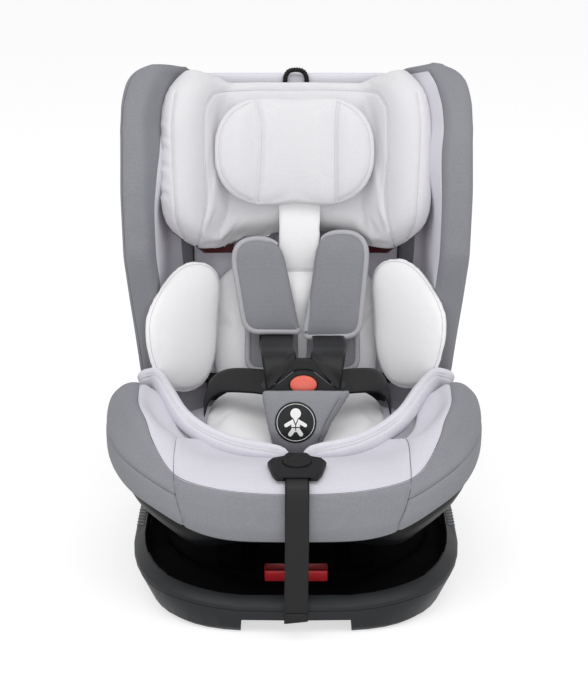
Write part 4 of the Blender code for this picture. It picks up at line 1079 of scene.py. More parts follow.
def pillowPlace(u, v, w):
    # two side lobes stand out beside a flatter middle panel
    front = max(0.0, w) / headPillow["front"]
    seam = 0.0050 * math.exp(-((abs(u) - 0.048) / 0.010) ** 2) + 0.0015 * math.exp(-(u / 0.030) ** 2)
    lobe = 0.0045 * math.exp(-((abs(u) - 0.076) / 0.020) ** 2)
    waist = 1 - 0.10 * math.exp(-(u / 0.05) ** 2)
    out = headPillow["out"] + w + front * (lobe - seam) + 1.6 * u * u
    return backPlane @ Vector((headPillow["middle"] + u, headPillow["up"] + v * waist, out))


def makeHeadPillow():
    outline = ovalOutline(*headPillow["half"], headPillow["square"])
    rings = cushionRings(pillowPlace, outline, headPillow["front"], headPillow["back"], 0.5)
    pillow = softPiece("headPillow", [rings], finishes["offWhiteKnit"], headPillow["voxel"], 3)
    lines = [curvedLine(line) for line in headPillow["panelSeams"]]
    rim = ovalOutline(*headPillow["rim"], headPillow["square"], 240)
    rim = [(u, v) for u, v in rim[np.argsort(rim[:, 1])] if u > headPillow["rimFrom"]]
    for side in (-1, 1):
        lines.append([(headPillow["middle"] + side * u, headPillow["up"] + v) for u, v in rim])
    laySeams = backSeams(lines)
    seams = upholster(pillow, laySeams, 4.0, 0.006, 0.0025)
    sewIn(pillow, seams[:2], 0.0034, 0.0032)
    sewIn(pillow, seams[2:], 0.0010, 0.0022)
    dress(pillow, "headrest", "off_white_knit", "head_pillow")
    noteSeamShade("headrest", "paleSeam", laySeams(pillow))


makeHeadPillow()
print("headrest padded")


# Infant insert
# the insert's pads take the lighter knit, partly painted light for their shaded recess
seatPad = {"half": (0.123, 0.106), "square": 3.8, "front": 0.0255, "back": 0.0145, "rise": 0.013,
           "place": (-0.030, 0.1755), "voxel": 0.0045}
backPad = {"half": (0.121, 0.098), "square": 3.2, "front": 0.0205, "back": 0.0132, "place": (0.063, 0.0140),
           "voxel": 0.0042, "middle": 0.0045, "spine": 0.016, "neck": 0.063, "neckThick": 0.009,
           # the neck strip runs up under the head pillow: (up, out)
           "neckRoute": [(0.240, 0.0455), (0.222, 0.0488), (0.196, 0.0502), (0.174, 0.0490), (0.156, 0.0450),
                         (0.138, 0.0385), (0.120, 0.0330)],
           "seamUp": 0.1405, "seamHalf": 0.029}
torsoPad = {"half": (0.0595, 0.088), "square": 2.3, "front": 0.0175, "back": 0.011, "voxel": 0.0042,
            "seamInset": 0.89, "place": (0.1490, 0.071, 0.0825), "facing": (0.775, 0.632)}
frontRoll = {"left": [(0.2035, 0.0155, 0.2245), (0.191, 0.0140, 0.2300), (0.177, 0.0030, 0.2335),
                      (0.1600, -0.0560, 0.2325), (0.1400, -0.1045, 0.2210), (0.116, -0.1285, 0.2095),
                      (0.0835, -0.1482, 0.2022), (0.049, -0.1617, 0.1990), (0.006, -0.1700, 0.1975)],
             "right": [(0.2035, 0.0155, 0.2245), (0.191, 0.0140, 0.2300), (0.176, 0.0030, 0.2335),
                       (0.1540, -0.0560, 0.2335), (0.132, -0.1040, 0.2218), (0.109, -0.1255, 0.2105),
                       (0.0810, -0.1455, 0.2036), (0.049, -0.1600, 0.1998), (0.006, -0.1692, 0.1978)],
             "radius": 0.0158, "flat": 0.72, "voxel": 0.0032, "seams": (0.40, 0.72), "look": (0, 0.85, -0.53)}


def ribbonRings(points, width, across, thick, steps=6):
    rings = []
    for point, side, face in framesAlong(smoothPath(points, steps), Vector(across)):
        rings.append([point + side * width / 2 * power(math.cos(a), 0.35)
                      + face * thick / 2 * power(math.sin(a), 0.8) for a in around(40)])
    return rings


def makeSeatPad():
    y, z = seatPad["place"]

    def seatPlace(u, v, w):
        dip = 0.004 * math.exp(-(u / 0.045) ** 2) if w > 0 else 0.0
        return Vector((u, y + v, z + w - dip + seatPad["rise"] * ease(v, 0.0, 0.10)))
    outline = ovalOutline(*seatPad["half"], seatPad["square"])
    rings = cushionRings(seatPlace, outline, seatPad["front"], seatPad["back"], 0.45)
    pad = softPiece("insertSeatPad", [rings], finishes["insertKnitPaintedLight"], seatPad["voxel"], 3)
    upholster(pad, lambda _: [], 4.0, 0.005, 0.003)
    dress(pad, "seat", "off_white_knit", "insert_seat_pad")


def makeBackPad():
    up, out = backPad["place"]

    def backPlace(u, v, w):
        waist = 1 - 0.06 * math.cos(v / 0.105 * math.pi / 2)
        spine = backPad["spine"] * ease(v, -0.06, 0.06) * math.exp(-((u - backPad["middle"]) / 0.023) ** 2)
        return backPlane @ Vector((u * waist, up + v, out + w + spine * max(0.0, w) / backPad["front"]))
    outline = ovalOutline(*backPad["half"], backPad["square"])
    rings = cushionRings(backPlace, outline, backPad["front"], backPad["back"], 0.42)
    route = [backPlane @ Vector((backPad["middle"], *place)) for place in backPad["neckRoute"]]
    neck = ribbonRings(route, backPad["neck"], (1, 0, 0), backPad["neckThick"])
    pad = softPiece("insertBack", [rings, neck], finishes["insertKnitPaintedLight"], backPad["voxel"], 2)
    places = np.linspace(-backPad["seamHalf"], backPad["seamHalf"], 14)
    laySeams = backSeams([[(backPad["middle"] + x, backPad["seamUp"]) for x in places]])
    seams = upholster(pad, laySeams, 3.0, 0.003, 0.0015)
    sewIn(pad, seams, 0.0016, 0.0024)
    dress(pad, "seat", "off_white_knit", "insert_back")
    noteSeamShade("seat", "paleSeam", laySeams(pad))


def makeTorsoPad(side, name):
    place, (along, out) = torsoPad["place"], torsoPad["facing"]

    def torsoPlace(u, v, w):
        lean = 0.018 * ease(v, 0.0, 0.087) + 0.003 * ease(-v, 0.0, 0.087)
        x = place[0] - lean + along * u - out * w
        return backPlane @ Vector((side * x, place[1] + 0.002 * side + v,
                                   place[2] - 0.6 * lean + out * u + along * w))
    half, square, inset = torsoPad["half"], torsoPad["square"], torsoPad["seamInset"]
    rings = cushionRings(torsoPlace, ovalOutline(*half, square), torsoPad["front"], torsoPad["back"], 0.5)
    pad = softPiece(f"torsoPad.{name}", [rings], finishes["insertKnitPaintedLight"], torsoPad["voxel"], 3)
    facing = (torsoPlace(0, 0, 1) - torsoPlace(0, 0, 0)).normalized()
    rim = [torsoPlace(u, v, 0.02) for u, v in ovalOutline(half[0] * inset, half[1] * (inset + 0.03), square)]

    def laySeams(cushion):
        return [layOn(cushion, rim + rim[:1], -facing)]
    seams = upholster(pad, laySeams, 4.0, 0.006, 0.0025)
    sewIn(pad, seams, 0.0013, 0.0024)
    dress(pad, "seat", "off_white_knit", f"torso_pad_{name}")
    noteSeamShade("seat", "paleSeam", laySeams(pad))


def makeFrontRoll(side, name):
    path = smoothPath([(side * x, y, z) for x, y, z in frontRoll[name]], 8)
    rings, tops = [], [[] for _ in frontRoll["seams"]]
    for step, (point, across, face) in enumerate(framesAlong(path, Vector((0, 0, 1)))):
        part = step / (len(path) - 1)
        ends = math.sqrt(max(0.02, 1 - abs(2 * part - 1) ** 14))
        size = frontRoll["radius"] * ends * (0.86 + 0.14 * math.sin(math.pi * part))
        rings.append([point + across * size * math.cos(a) + face * size * frontRoll["flat"] * math.sin(a)
                      for a in around(40)])
        for line, height in zip(tops, frontRoll["seams"]):
            line.append(point + across * size * height + Vector((0, -0.01, 0)))
    roll = softPiece(f"frontRoll.{name}", [rings], finishes["lavenderKnit"], frontRoll["voxel"], 4)
    look = Vector(frontRoll["look"])
    seams = upholster(roll, lambda pad: [layOn(pad, line[3:-3], look) for line in tops], 4.0, 0.004, 0.0010)
    sewIn(roll, seams, 0.0012, 0.0022)
    dress(roll, "seat", "pale_lavender_knit", f"front_roll_{name}")
    noteSeamShade("seat", "paleSeam", sunkSeams(roll, seams))


makeSeatPad()
makeBackPad()
for side, name in bothSides:
    makeTorsoPad(side, name)
    makeFrontRoll(side, name)
print("insert padded")


# Back panel behind the headrest, turned over the top of the shell
backPanel = {"half": 0.136, "voxel": 0.004,
             "section": [(0.002, 0.0), (0.398, 0.0), (0.4035, -0.004), (0.4035, -0.0215), (0.399, -0.026),
                         (0.388, -0.026), (0.388, -0.0206), (0.3946, -0.0206), (0.3946, -0.0154),
                         (0.002, -0.0154)]}


def makeBackPanel():
    rings = [[backPlane @ Vector((x, up, out)) for up, out in backPanel["section"]]
             for x in np.linspace(-backPanel["half"], backPanel["half"], 3)]
    panel = softPiece("backPanel", [rings], finishes["lavenderKnit"], backPanel["voxel"], 4)
    dress(panel, "seat", "pale_lavender_knit", "back_cover")


makeBackPanel()


def laidOn(pad, plane, outline, lift, height, name, finish):
    # a thin flat shape that follows a pad's surface
    surface = surfaceOf(pad)
    out = plane.to_3x3() @ Vector((0, 0, 1))
    middle = np.mean(np.array(outline), axis=0)
    shares = (0.02, 0.2, 0.4, 0.6, 0.8, 0.97)
    levels = [(share, lift) for share in shares] + [(1.0, lift), (1.0, lift + height)]
    levels += [(share, lift + height * 1.1) for share in shares[::-1]]
    rings = []
    for share, rise in levels:
        spots = [plane @ Vector((*(middle + (np.array(point) - middle) * share), 0.15)) for point in outline]
        rings.append([(surface.ray_cast(spot, -out)[0] or surface.find_nearest(spot)[0]) + out * rise
                      for spot in spots])
    points, faces = loftFaces(rings)
    return makePiece(name, points, faces, [finish])


# Harness
harness = {"width": 0.038, "lapWidth": 0.034, "shown": 0.042, "slotX": 0.056, "slotUp": 0.178,
           "shoulderCut": 0.79,
           # the straps' places at the top and foot of the shoulder pads: apart, and to the right
           "top": (0.058, 0.004), "low": (0.0385, 0.0085),
           # forward from the chest, then down into the buckle, cut along its sloping shoulder
           "toBuckle": [(0.0345, 0.1170, -0.080), (0.0315, 0.1085, -0.022), (0.0290, 0.0960, -0.0062),
                        (0.0265, 0.0790, -0.0048)],
           "crotch": [(0, -0.085, -0.006), (0, -0.030, -0.005), (0, 0.010, -0.006), (0, 0.0395, -0.0100)],
           # the two tongues meet in a point above the buckle
           "hub": [(-0.036, 0.068, 0.004), (0.036, 0.068, 0.004), (0.0150, 0.1020, 0.006),
                   (-0.0150, 0.1020, 0.006)],
           "hubDeep": 0.0040, "hubOut": -0.0070}
shoulderPad = {
    "front": 0.0080, "back": 0.0075, "voxel": 0.0022, "binding": 0.0038, "place": (0.126, 0.0625),
    # outlines of the sleeves and of the flap under them: (outwards, up, start of the rounding)
    "left": [(-0.0345, -0.0655, 0.005), (0.0350, -0.0650, 0.018), (0.0350, 0.0580, 0.038),
             (-0.0345, 0.0580, 0.030)],
    "right": [(-0.0345, -0.0725, 0.005), (0.0350, -0.0710, 0.018), (0.0350, 0.0665, 0.036),
              (-0.0345, 0.0665, 0.030)],
    "flap": [(-0.0320, -0.0700, 0.012), (0.0330, -0.0700, 0.018), (0.0330, 0.0600, 0.020),
             (-0.0320, 0.0600, 0.020)],
    "flapDeep": 0.0035, "flapPlace": (-0.0475, -0.0195),
    # the fold that joins them on the inner side
    "fold": [(-0.0325, -0.050), (-0.0275, -0.050), (-0.0275, 0.018), (-0.0325, 0.018)],
    # a patch of hook tape holds the left flap
    "patch": [(0.008, -0.086, 0.001), (0.018, -0.086, 0.001), (0.018, -0.068, 0.001), (0.008, -0.068, 0.001)],
}


def makeShoulderPad(side, name, top, low):
    up, out = shoulderPad["place"]
    flapUp, flapOut = shoulderPad["flapPlace"]

    def sleeve(u, v, w):
        slant = low + (top - low) * max(0.0, v + 0.066) / 0.128
        droop = 1.2 * max(0.0, v - 0.045) ** 1.4
        return backPlane @ Vector((slant + side * u * (1 - 0.6 * v), up + v, out + w - droop))

    def flap(u, v, w):
        return sleeve(u, v + flapUp, w + flapOut)
    outlines = [roundedOutline(shoulderPad[layer]) for layer in (name, "flap")]
    forms = [cushionRings(sleeve, outlines[0], shoulderPad["front"], shoulderPad["back"], 0.28),
             cushionRings(flap, outlines[1], shoulderPad["flapDeep"], shoulderPad["flapDeep"], 0.28),
             [[sleeve(u, v, w) for u, v in shoulderPad["fold"]] for w in (-0.0230, -0.0010)]]
    pad = softPiece(f"shoulderPad.{name}", forms, finishes["greyKnit"], shoulderPad["voxel"], 2)
    dress(pad, "seat", "grey_knit", f"shoulder_pad_{name}")
    if side > 0:
        stitchLines.append([sleeve(u * 0.952, v * 0.975, 0.0071) for u, v in outlines[0]
                            if u > 0.0 and v > 0.030])
    else:
        patch = [(low + side * u, up + v) for u, v in roundedOutline(shoulderPad["patch"], 40)]
        tape = laidOn(pad, backPlane, patch, -0.0004, 0.0012, "hookTape", finishes["hookTape"])
        dress(tape, "seat", "black_webbing")
    # the inner side is a fold, so the binding runs round the other three
    bound = [[(u, v) for u, v in outline if not (u < -0.029 and v > -0.060)] for outline in outlines]
    sunk = [0.0065 * ease(-u, 0.012, 0.029) * ease(v, 0.0, 0.02) for u, v in bound[0]]
    return [[sleeve(u * 0.965, v * 0.982, 0.0032 - less) for (u, v), less in zip(bound[0], sunk)],
            [flap(u * 0.965, v * 0.982, 0.0022) for u, v in bound[1] if v < 0.02]]


def makeHarness():
    slot, slotUp = harness["slotX"], harness["slotUp"]
    pipes = []
    for side, name in bothSides:
        top, low = [side * apart + shift for apart, shift in (harness["top"], harness["low"])]
        route = [backPlane @ Vector(point) for point in (
            (side * 0.030, 0.100, -0.0300), (side * 0.050, 0.155, -0.0300), (side * slot, 0.1740, -0.0275),
            (side * slot, slotUp, -0.012), (side * slot, slotUp + 0.001, 0.030),
            (top - side * 0.002, 0.1725, 0.0455), (top - side * 0.006, 0.150, 0.0515),
            ((top + low) / 2, 0.110, 0.0530), (low - side * 0.0045, 0.062, 0.0530))]
        route += [crotchPlane @ Vector((side * u, v, w)) for u, v, w in harness["toBuckle"]]
        strap, _ = webbing(f"shoulderStrap.{name}", route, harness["shown"], (1, 0, 0),
                           slant=side * harness["shoulderCut"])
        dress(strap, "seat", "black_webbing", f"shoulder_strap_{name}")

        hip = [(side * 0.1210 + 0.002, 0.024, 0.186), (side * 0.1130 + 0.003, 0.010, 0.2160),
               (side * 0.0960 + 0.006, -0.012, 0.2360), (side * 0.0650 + 0.008, -0.046, 0.2480),
               (side * 0.0400 + 0.009, -0.0690, 0.2530)]
        strap, _ = webbing(f"lapStrap.{name}", hip, harness["lapWidth"], (0, 0.80, 0.60))
        dress(strap, "seat", "black_webbing", f"lap_strap_{name}")
        pipes += makeShoulderPad(side, name, top, low)
    piping = growAlong("padBinding", pipes, "pipedEdge", {"radius": shoulderPad["binding"]}, "pipingKnit")
    dress(piping, "seat", "grey_knit")

    rings = cushionRings(lambda u, v, w: crotchPlane @ Vector((u, v, harness["hubOut"] + w)),
                         roundedOutline(harness["hub"]), harness["hubDeep"], harness["hubDeep"], 0.25)
    dress(softPiece("tongueHub", [rings], finishes["satinBlackPlastic"], 0.0012, 2), "seat", "black_plastic")

    strap, _ = webbing("crotchStrap", [crotchPlane @ Vector(point) for point in harness["crotch"]],
                       harness["width"], (1, 0, 0))
    dress(strap, "seat", "black_webbing", "crotch_strap")


makeHarness()
print("harness laid")

crotchPad = {"corners": [(-0.054, -0.0520, 0.008), (0.054, -0.0520, 0.008), (0.054, 0.0335, 0.007),
                         (-0.054, 0.0335, 0.007)],
             "deep": 0.0060, "voxel": 0.0022, "place": (0.0290, 0.0135),
             # its width and its middle against the height
             "widths": [(-0.024, 0.20), (-0.012, 0.36), (-0.004, 0.56), (0.0233, 0.735), (0.062, 1.03)],
             "middles": [(-0.024, -0.0045), (-0.006, -0.0080), (0.0233, -0.0050), (0.062, 0.0038)],
             "foldAt": 0.0435}
badge = {"place": (-0.0095, 0.0238), "radius": 0.0252, "ring": 0.0225, "line": 0.00035,
         # a plain strapped-in figure: a disc, bars for its limbs and body, and thin bars for its straps
         "head": (0.0064, 0.0108),
         "bars": [((-0.0048, 0.0005), (-0.0115, -0.0035), 0.0046),
                  ((0.0048, 0.0005), (0.0115, -0.0035), 0.0046),
                  ((0.0, 0.0010), (0.0, -0.0065), 0.0105),
                  ((-0.0030, -0.0095), (-0.0065, -0.0145), 0.0052),
                  ((0.0030, -0.0095), (0.0065, -0.0145), 0.0052)],
         "straps": [((-0.0035, 0.0052), (0.0, -0.0030), 0.0011),
                    ((0.0035, 0.0052), (0.0, -0.0030), 0.0011),
                    ((-0.0050, -0.0060), (0.0050, -0.0060), 0.0011),
                    ((0.0, -0.0030), (0.0, -0.0095), 0.0011)]}


def barOutline(start, end, width):
    # a bar with round ends
    start, end = np.array(start), np.array(end)
    run = (end - start) / np.linalg.norm(end - start)
    side = np.array((-run[1], run[0]))
    turns = np.linspace(-math.pi / 2, math.pi / 2, 9)
    return [tuple(end + width / 2 * (run * math.cos(a) + side * math.sin(a))) for a in turns] + \
           [tuple(start - width / 2 * (run * math.cos(a) + side * math.sin(a))) for a in turns]


def makeBadge(pad):
    u, v = badge["place"]

    def disc(radius, sides, up=0.0):
        return [(u + radius * math.cos(a), v + up + radius * math.sin(a)) for a in around(sides)]

    def bars(shapes):
        return [barOutline((u + a[0], v + a[1]), (u + b[0], v + b[1]), width) for a, b, width in shapes]
    patch = laidOn(pad, crotchPlane, disc(badge["radius"], 64), -0.0006, 0.0012, "badgeDisc",
                   finishes["badgeBlackPrint"])
    dress(patch, "seat", "black_plastic")
    surface = surfaceOf(patch)
    ring = [surface.ray_cast(crotchPlane @ Vector((*spot, 0.1)), -crotchOut)[0]
            for spot in disc(badge["ring"], 64)]
    ring.append(ring[0])
    line = growAlong("badgeRing", [ring], "pipedEdge", {"radius": badge["line"]}, "badgeWhitePrint")
    dress(line, "seat", "white_nylon")
    figure = [disc(badge["head"][0], 40, badge["head"][1])] + bars(badge["bars"])
    for name, shapes, lift, finish, slot in (
            ("badgeMark", figure, -0.0003, "badgeWhitePrint", "white_nylon"),
            ("badgeStrap", bars(badge["straps"]), 0.0001, "badgeBlackPrint", "black_plastic")):
        for index, shape in enumerate(shapes):
            height = 0.0006 + 0.00002 * index
            mark = laidOn(patch, crotchPlane, shape, lift, height, f"{name}.{index}", finishes[finish])
            dress(mark, "seat", slot)


def makeCrotchPad():
    middle, out = crotchPad["place"]

    def crotchPlace(u, v, w):
        up = middle + v
        x = between(crotchPad["middles"], up) + u * between(crotchPad["widths"], up)
        bend = 1.2 * u * u + 0.5 * max(0.0, -v - 0.018) + 0.4 * max(0.0, u - 0.043)
        return crotchPlane @ Vector((x, up, out + w - bend))
    outline = roundedOutline(crotchPad["corners"])
    rings = cushionRings(crotchPlace, outline, crotchPad["deep"], crotchPad["deep"], 0.30)
    pad = softPiece("crotchPad", [rings], finishes["greyKnit"], crotchPad["voxel"], 2)
    # a folded edge runs down the right side
    fold = [crotchPlace(crotchPad["foldAt"], v, 0.05) for v in np.linspace(-0.030, 0.0325, 24)]
    seams = [layOn(pad, fold, -crotchOut)]
    sewIn(pad, seams, 0.0010, 0.0022)
    dress(pad, "seat", "grey_knit", "crotch_pad")
    noteSeamShade("seat", "greySeam", sunkSeams(pad, seams))
    makeBadge(pad)


makeCrotchPad()
print("crotch pad and badge made")


# Moulded pieces: the CAD form with its edges rounded off
# the turntable, handle housing, recline rails and shoes take the near-black plastic: painted shade for the
# dim space under the seat
mouldedEdges = {
    "base_lower_shell": (0.0010, "grainedBlackPlastic"), "base_upper_shell": (0.0008, "grainedBlackPlastic"),
    "turntable": (0.0008, "paintedShadePlastic"), "handle_housing": (0.0008, "paintedShadePlastic"),
    "release_handle": (0.0018, "redAbs"), "seat_shell": (0.0006, "grainedBlackPlastic"),
    "back_shell": (0.0006, "grainedBlackPlastic"), "rear_cover": (0.0010, "grainedBlackPlastic"),
    "headrest_shell": (0.0008, "maroonPolypropylene"), "buckle_housing": (0.0014, "satinBlackPlastic"),
    "buckle_button": (0.0004, "coralAbs"), "adjuster_cover": (0.0012, "satinBlackPlastic"),
    "adjuster_button": (0.0004, "satinBlackPlastic"), "recline_rail_left": (0.0005, "paintedShadePlastic"),
    "recline_rail_right": (0.0005, "paintedShadePlastic"), "recline_shoe_left": (0.0005, "paintedShadePlastic"),
    "recline_shoe_right": (0.0005, "paintedShadePlastic"),
}


def mouldedCopy(node, edge, finish):
    source = frame["nodes"][node]
    form = weldedForm(source.data)
    bmesh.ops.dissolve_limit(form, angle_limit=math.radians(1.5), verts=form.verts, edges=form.edges)
    piece = formPiece("moulded." + node, form, finishes[finish])
    bevel = piece.modifiers.new("softEdges", "BEVEL")
    bevel.width = edge
    bevel.segments = 2
    bevel.limit_method = "ANGLE"
    bevel.angle_limit = math.radians(32)
    settle(piece)
    piece.data.set_sharp_from_angle(angle=math.radians(38))
    return dress(piece, bodyOf[node], source.data.materials[0].name, node)


moulded = {node: mouldedCopy(node, edge, finish) for node, (edge, finish) in mouldedEdges.items()}

# the base in plan: half width, half depth, and how square its back and front corners are
baseForm = {"half": (0.206, 0.248), "square": 3.7, "frontSquare": 3.45, "basin": (0.190, 0.232),
            "rimLift": 0.0065, "cornerLift": 0.0055}


def paintBasinShade(base):
    # painted shade: the inside of the base takes a near-black, rougher plastic that stands in for the unlit
    # well
    base.data.materials.append(finishes["paintedShadePlastic"])
    half, deep = baseForm["basin"]
    for face in base.data.polygons:
        x, y, z = face.center
        inward = -(face.normal.x * x + face.normal.y * y) / max(face.center.xy.length, 1e-6)
        gap = (abs(x) / half) ** baseForm["square"] + (abs(y) / deep) ** baseForm["square"]
        floor = face.normal.z > 0.6 and (gap < 1 and z < 0.029 or gap < 1.25 and z < 0.022)
        if floor or (inward > 0.2 and z > 0.02):
            face.material_index = 1


def roundCorners(base):
    # the base's front corners are rounder in plan than its back ones, and its rim is higher there
    def rise(value, start, end):
        part = np.clip((value - start) / (end - start), 0, 1)
        return part * part * (3 - 2 * part)

    def plan(square):
        return (x ** square + y ** square + 1e-12) ** (1 / square)
    half, deep = baseForm["half"]
    points = readPoints(base.data)
    x, y = np.abs(points[:, 0]) / half, np.abs(points[:, 1]) / deep
    front = (points[:, 1] < 0) & (np.hypot(points[:, 0], points[:, 1]) > 0.16)
    scale = plan(baseForm["square"]) / plan(baseForm["frontSquare"])
    points[front, :2] *= scale[front, None]
    lift = baseForm["rimLift"] + baseForm["cornerLift"] * rise(x * half, 0.06, 0.15)
    lift = lift * rise(-points[:, 1], -0.03, 0.15) * rise(points[:, 2], 0.008, 0.024)
    points[:, 2] += lift * rise(plan(baseForm["square"]), 0.85, 0.90)
    writePoints(base.data, points)


paintBasinShade(moulded["base_upper_shell"])
for node in ("base_lower_shell", "base_upper_shell"):
    roundCorners(moulded[node])
# painted shade: the upward faces of the handle's grip take the darker red of the plate behind it
grip = moulded["release_handle"].data
grip.materials.append(finishes["redAbsPaintedShade"])
for face in grip.polygons:
    face.material_index = int(face.normal.z > 0.6)
print("moulded pieces rounded")

gripRibs = {"count": 6, "first": -0.0030, "pitch": 0.0092, "across": (0.1945, 0.2040), "slant": 1.2,
            "radius": 0.0012}
handlePlate = {"arch": [(-0.0385, 0.0300, 0.001), (0.0385, 0.0300, 0.001), (0.0385, 0.0545, 0.009),
                        (-0.0385, 0.0545, 0.009)],
               "middle": 0.0422, "front": -0.1605, "thick": 0.0020, "bead": 0.0008}
# light cords along the buckle's sloping upper edges: painted highlight
buckleHighlightLines = {"route": [(0.0432, 0.0600, 0.0022), (0.0280, 0.0728, 0.0024), (0.0125, 0.0850, 0.0022)],
               "radius": 0.00038}


def makeGripRibs():
    start, end = gripRibs["across"]
    ribs = []
    for side, _ in bothSides:
        for step in range(gripRibs["count"]):
            y = gripRibs["first"] - step * gripRibs["pitch"]
            spots = [(side * x, y + gripRibs["slant"] * (x - start), 0.3) for x in np.linspace(start, end, 7)]
            laid = layOn(moulded["base_upper_shell"], spots, Vector((0, 0, -1)))
            ribs.append([spot + Vector((0, 0, 0.0002)) for spot in laid])
    piece = growAlong("gripRibs", ribs, "pipedEdge", {"radius": gripRibs["radius"]}, "ribGreyPlastic")
    dress(piece, "base", "black_plastic")


def makeHandlePlate():
    # the red plate behind the grip of the release handle, with a thin bead round it, both in a darker red
    # that paints the shade of this recess
    arch = roundedOutline(handlePlate["arch"], 80)
    middle, front = handlePlate["middle"], handlePlate["front"]
    back = front + handlePlate["thick"]
    rings = [[(u * size, y, middle + (v - middle) * size) for u, v in arch]
             for size, y in ((0.05, front), (0.97, front), (1.0, front + 0.0006), (1.0, back), (0.05, back))]
    points, faces = loftFaces(rings)
    plate = makePiece("handlePlate", points, faces, [finishes["redAbsPaintedShade"]])
    dress(plate, bodyOf["release_handle"], "red_plastic")
    edge = [(u, front, v) for u, v in arch if v > 0.0305]
    bead = growAlong("handleBead", [edge], "pipedEdge", {"radius": handlePlate["bead"]}, "redAbsPaintedShade")
    dress(bead, bodyOf["release_handle"], "red_plastic")


def makeBuckleHighlights():
    # painted highlight along both of the buckle's upper edges
    lines = [[crotchPlane @ Vector((side * u, v, w)) for u, v, w in buckleHighlightLines["route"]]
             for side, _ in bothSides]
    piece = growAlong("buckleHighlightLines", lines, "pipedEdge", {"radius": buckleHighlightLines["radius"]}, "buckleEdgeHighlight")
    dress(piece, "seat", "black_plastic")


makeGripRibs()
makeHandlePlate()
makeBuckleHighlights()

seatLining = {"voxel": 0.0045, "rounding": 8}


def makeSeatLining():
    # the cloth over the foam in the bottom of the seat, drawn down on it all round
    lining = formPiece("seatLining", weldedForm(frame["nodes"]["seat_foam"].data), finishes["lavenderKnit"])
    evenOut(lining, seatLining["voxel"], seatLining["rounding"])
    dress(lining, "seat", "pale_lavender_knit", "seat_foam")


makeSeatLining()

# the rim of the seat shell that shows below the hem of the cover: inwards from the cover, above its hem
seatSkirt = {"section": [(0.0120, 0.006), (0.0130, -0.006), (0.0200, -0.018), (0.0340, -0.030),
                         (0.0560, -0.040)],
             "wall": 0.0022, "reach": 0.96, "stations": 200, "frontTuck": 0.030, "endTuck": 0.016}


def makeSeatSkirt():
    rows = []
    for u in np.linspace(-seatSkirt["reach"], seatSkirt["reach"], seatSkirt["stations"]):
        here, turn, _ = coverPath(u)
        inward = coverInward(u)
        hem = coverSection(u)[0][0][2]
        tuck = seatSkirt["frontTuck"] * (1 - ease(turn, 12, 30))
        tuck += seatSkirt["endTuck"] * ease(abs(u), 0.82, seatSkirt["reach"])
        line = [(inset + wall + tuck, hem + drop + 0.4 * wall + 0.3 * tuck)
                for wall, order in ((0.0, 1), (seatSkirt["wall"], -1))
                for inset, drop in seatSkirt["section"][::order]]
        ring = [(*(here + inward * inset), z) for inset, z in line]
        rows.append(evenPath(ring + ring[:1], 41)[:-1])
    net = relaxNet(np.array(rows), 0, 3.0, False)
    faces = netFaces(len(net), 40)
    skirt = makePiece("seatSkirt", net.reshape(-1, 3), faces, [finishes["satinBlackPlastic"]])
    dress(skirt, "seat", "black_plastic")


makeSeatSkirt()

bowlLining = {"lift": 0.0035, "thick": 0.0025, "middle": -0.04}


def makeBowlLining():
    # cloth over the inner wall of the bowl
    form = weldedForm(moulded["seat_shell"].data)
    form.normal_update()
    outer = []
    for face in form.faces:
        place = face.calc_center_median()
        away = face.normal.x * place.x + face.normal.y * (place.y - bowlLining["middle"])
        if face.normal.z < 0.3 and away > 0:
            outer.append(face)
    bmesh.ops.delete(form, geom=outer, context="FACES")
    form.normal_update()
    for vert in form.verts:
        vert.co += vert.normal * bowlLining["lift"]
    lining = formPiece("bowlLining", form, finishes["lavenderKnit"])
    wall = lining.modifiers.new("wall", "SOLIDIFY")
    wall.thickness = bowlLining["thick"]
    wall.offset = -1
    settle(lining)
    dress(lining, "seat", "pale_lavender_knit")


makeBowlLining()

pullLoop = {"route": [(-0.0140, 0.386), (-0.0140, 0.396), (-0.0095, 0.4040), (0.0, 0.4060), (0.0095, 0.4040),
                      (0.0140, 0.396), (0.0140, 0.386)],
            "out": 0.0046, "sizes": {"radius": 0.0029, "rib": 0.0008, "pitch": 0.0030}}


def makePullLoop():
    path = smoothPath([backPlane @ Vector((x, up, pullLoop["out"])) for x, up in pullLoop["route"]], 8)
    loop = growAlong("pullLoop", [path], "ribbedLoop", pullLoop["sizes"], "satinBlackPlastic")
    dress(loop, "headrest_pull", "black_plastic", "headrest_pull_loop")


makePullLoop()

# Sewing
seamShadeCord = {"radius": 0.00042}
stitch = {"pitch": 0.0034, "length": 0.0024, "thickness": 0.0005}

# the seam cords in the darker knit are painted shade in the grooves
for (body, cloth), paths in seamShadeLines.items():
    folds = growAlong(f"seams.{body}.{cloth}", paths, "pipedEdge", seamShadeCord, cloth)
    dress(folds, body, "grey_knit" if cloth == "greySeam" else "off_white_knit")
threads = growAlong("stitches.seat.paleThread", stitchLines, "stitchRow", stitch, "paleThread")
dress(threads, "seat", "off_white_knit")
print("seams and stitches sewn")

for piece in frame["nodes"].values():
    slot = piece.data.materials[0].name
    if slot in finishOfSlot:
        piece.data.materials[0] = finishes[finishOfSlot[slot]]


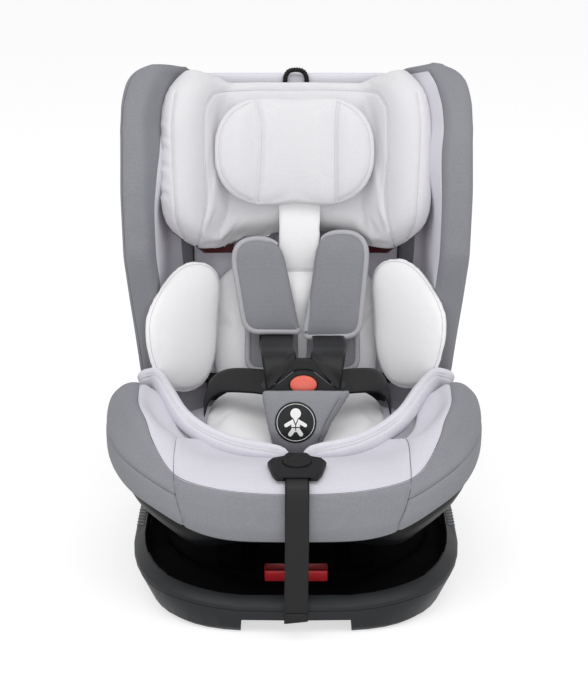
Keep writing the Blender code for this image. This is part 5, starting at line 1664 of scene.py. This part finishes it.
# Studio
studio = {"world": 0.62, "floor": "#f4f4f4", "glow": 0.63,
          # name, place, target, size in metres, watts
          "lamps": [("key", (-1.1, -1.55, 3.6), (0, -0.05, 0.25), 2.4, 32),
                    ("fill", (1.1, -1.55, 3.5), (0, -0.05, 0.25), 2.4, 31),
                    ("front", (0, -4.0, 1.1), (0, 0, 0.25), 2.2, 26)],
          "floorHalf": 12, "floorLevel": -0.0004}


def seenRays(tree):
    # one for the rays that show the backdrop, straight or by way of a gloss or glass
    path = addNode(tree, "ShaderNodeLightPath", {}, {}).outputs
    shown = sums(tree, "MAXIMUM", path["Is Camera Ray"], path["Is Transmission Ray"])
    return sums(tree, "MAXIMUM", shown, path["Is Glossy Ray"])


def makeLamps():
    for name, place, target, size, watts in studio["lamps"]:
        data = bpy.data.lights.new(name, "AREA")
        data.size = size
        data.energy = watts
        lamp = addObject(name, data)
        lamp.location = place
        lamp.rotation_euler = (Vector(target) - Vector(place)).to_track_quat("-Z", "Y").to_euler()


def makeWorld():
    world = bpy.data.worlds.new("studioWorld")
    scene.world = world
    world.use_nodes = True
    tree = world.node_tree
    sky = tree.nodes["Background"].inputs
    tree.links.new(spread(tree, seenRays(tree), 0.0, 1.0, studio["world"], 1.0), sky["Strength"])
    sky["Color"].default_value = (1, 1, 1, 1)


def makeFloor():
    made, tree, paint = blankFinish("paintedFloor", {"Base Color": linear(studio["floor"]), "Roughness": 0.9})
    half = addNode(tree, "ShaderNodeBsdfDiffuse", {}, {"Color": (0.5, 0.5, 0.5, 1)})
    glow = addNode(tree, "ShaderNodeEmission", {}, {"Color": (1, 1, 1, 1), "Strength": studio["glow"]})
    both = addNode(tree, "ShaderNodeAddShader", {}, {0: half.outputs[0], 1: glow.outputs[0]})
    mixed = addNode(tree, "ShaderNodeMixShader", {},
                    {0: seenRays(tree), 1: paint.outputs[0], 2: both.outputs[0]})
    tree.links.new(mixed.outputs[0], tree.nodes["Material Output"].inputs["Surface"])
    far, level = studio["floorHalf"], studio["floorLevel"]
    mesh = bpy.data.meshes.new("studioFloor")
    corners = [(-far, -far, level), (far, -far, level), (far, far, level), (-far, far, level)]
    mesh.from_pydata(corners, [], [(0, 1, 2, 3)])
    mesh.materials.append(made)
    floor = addObject("studioFloor", mesh)


makeLamps()
makeWorld()
makeFloor()
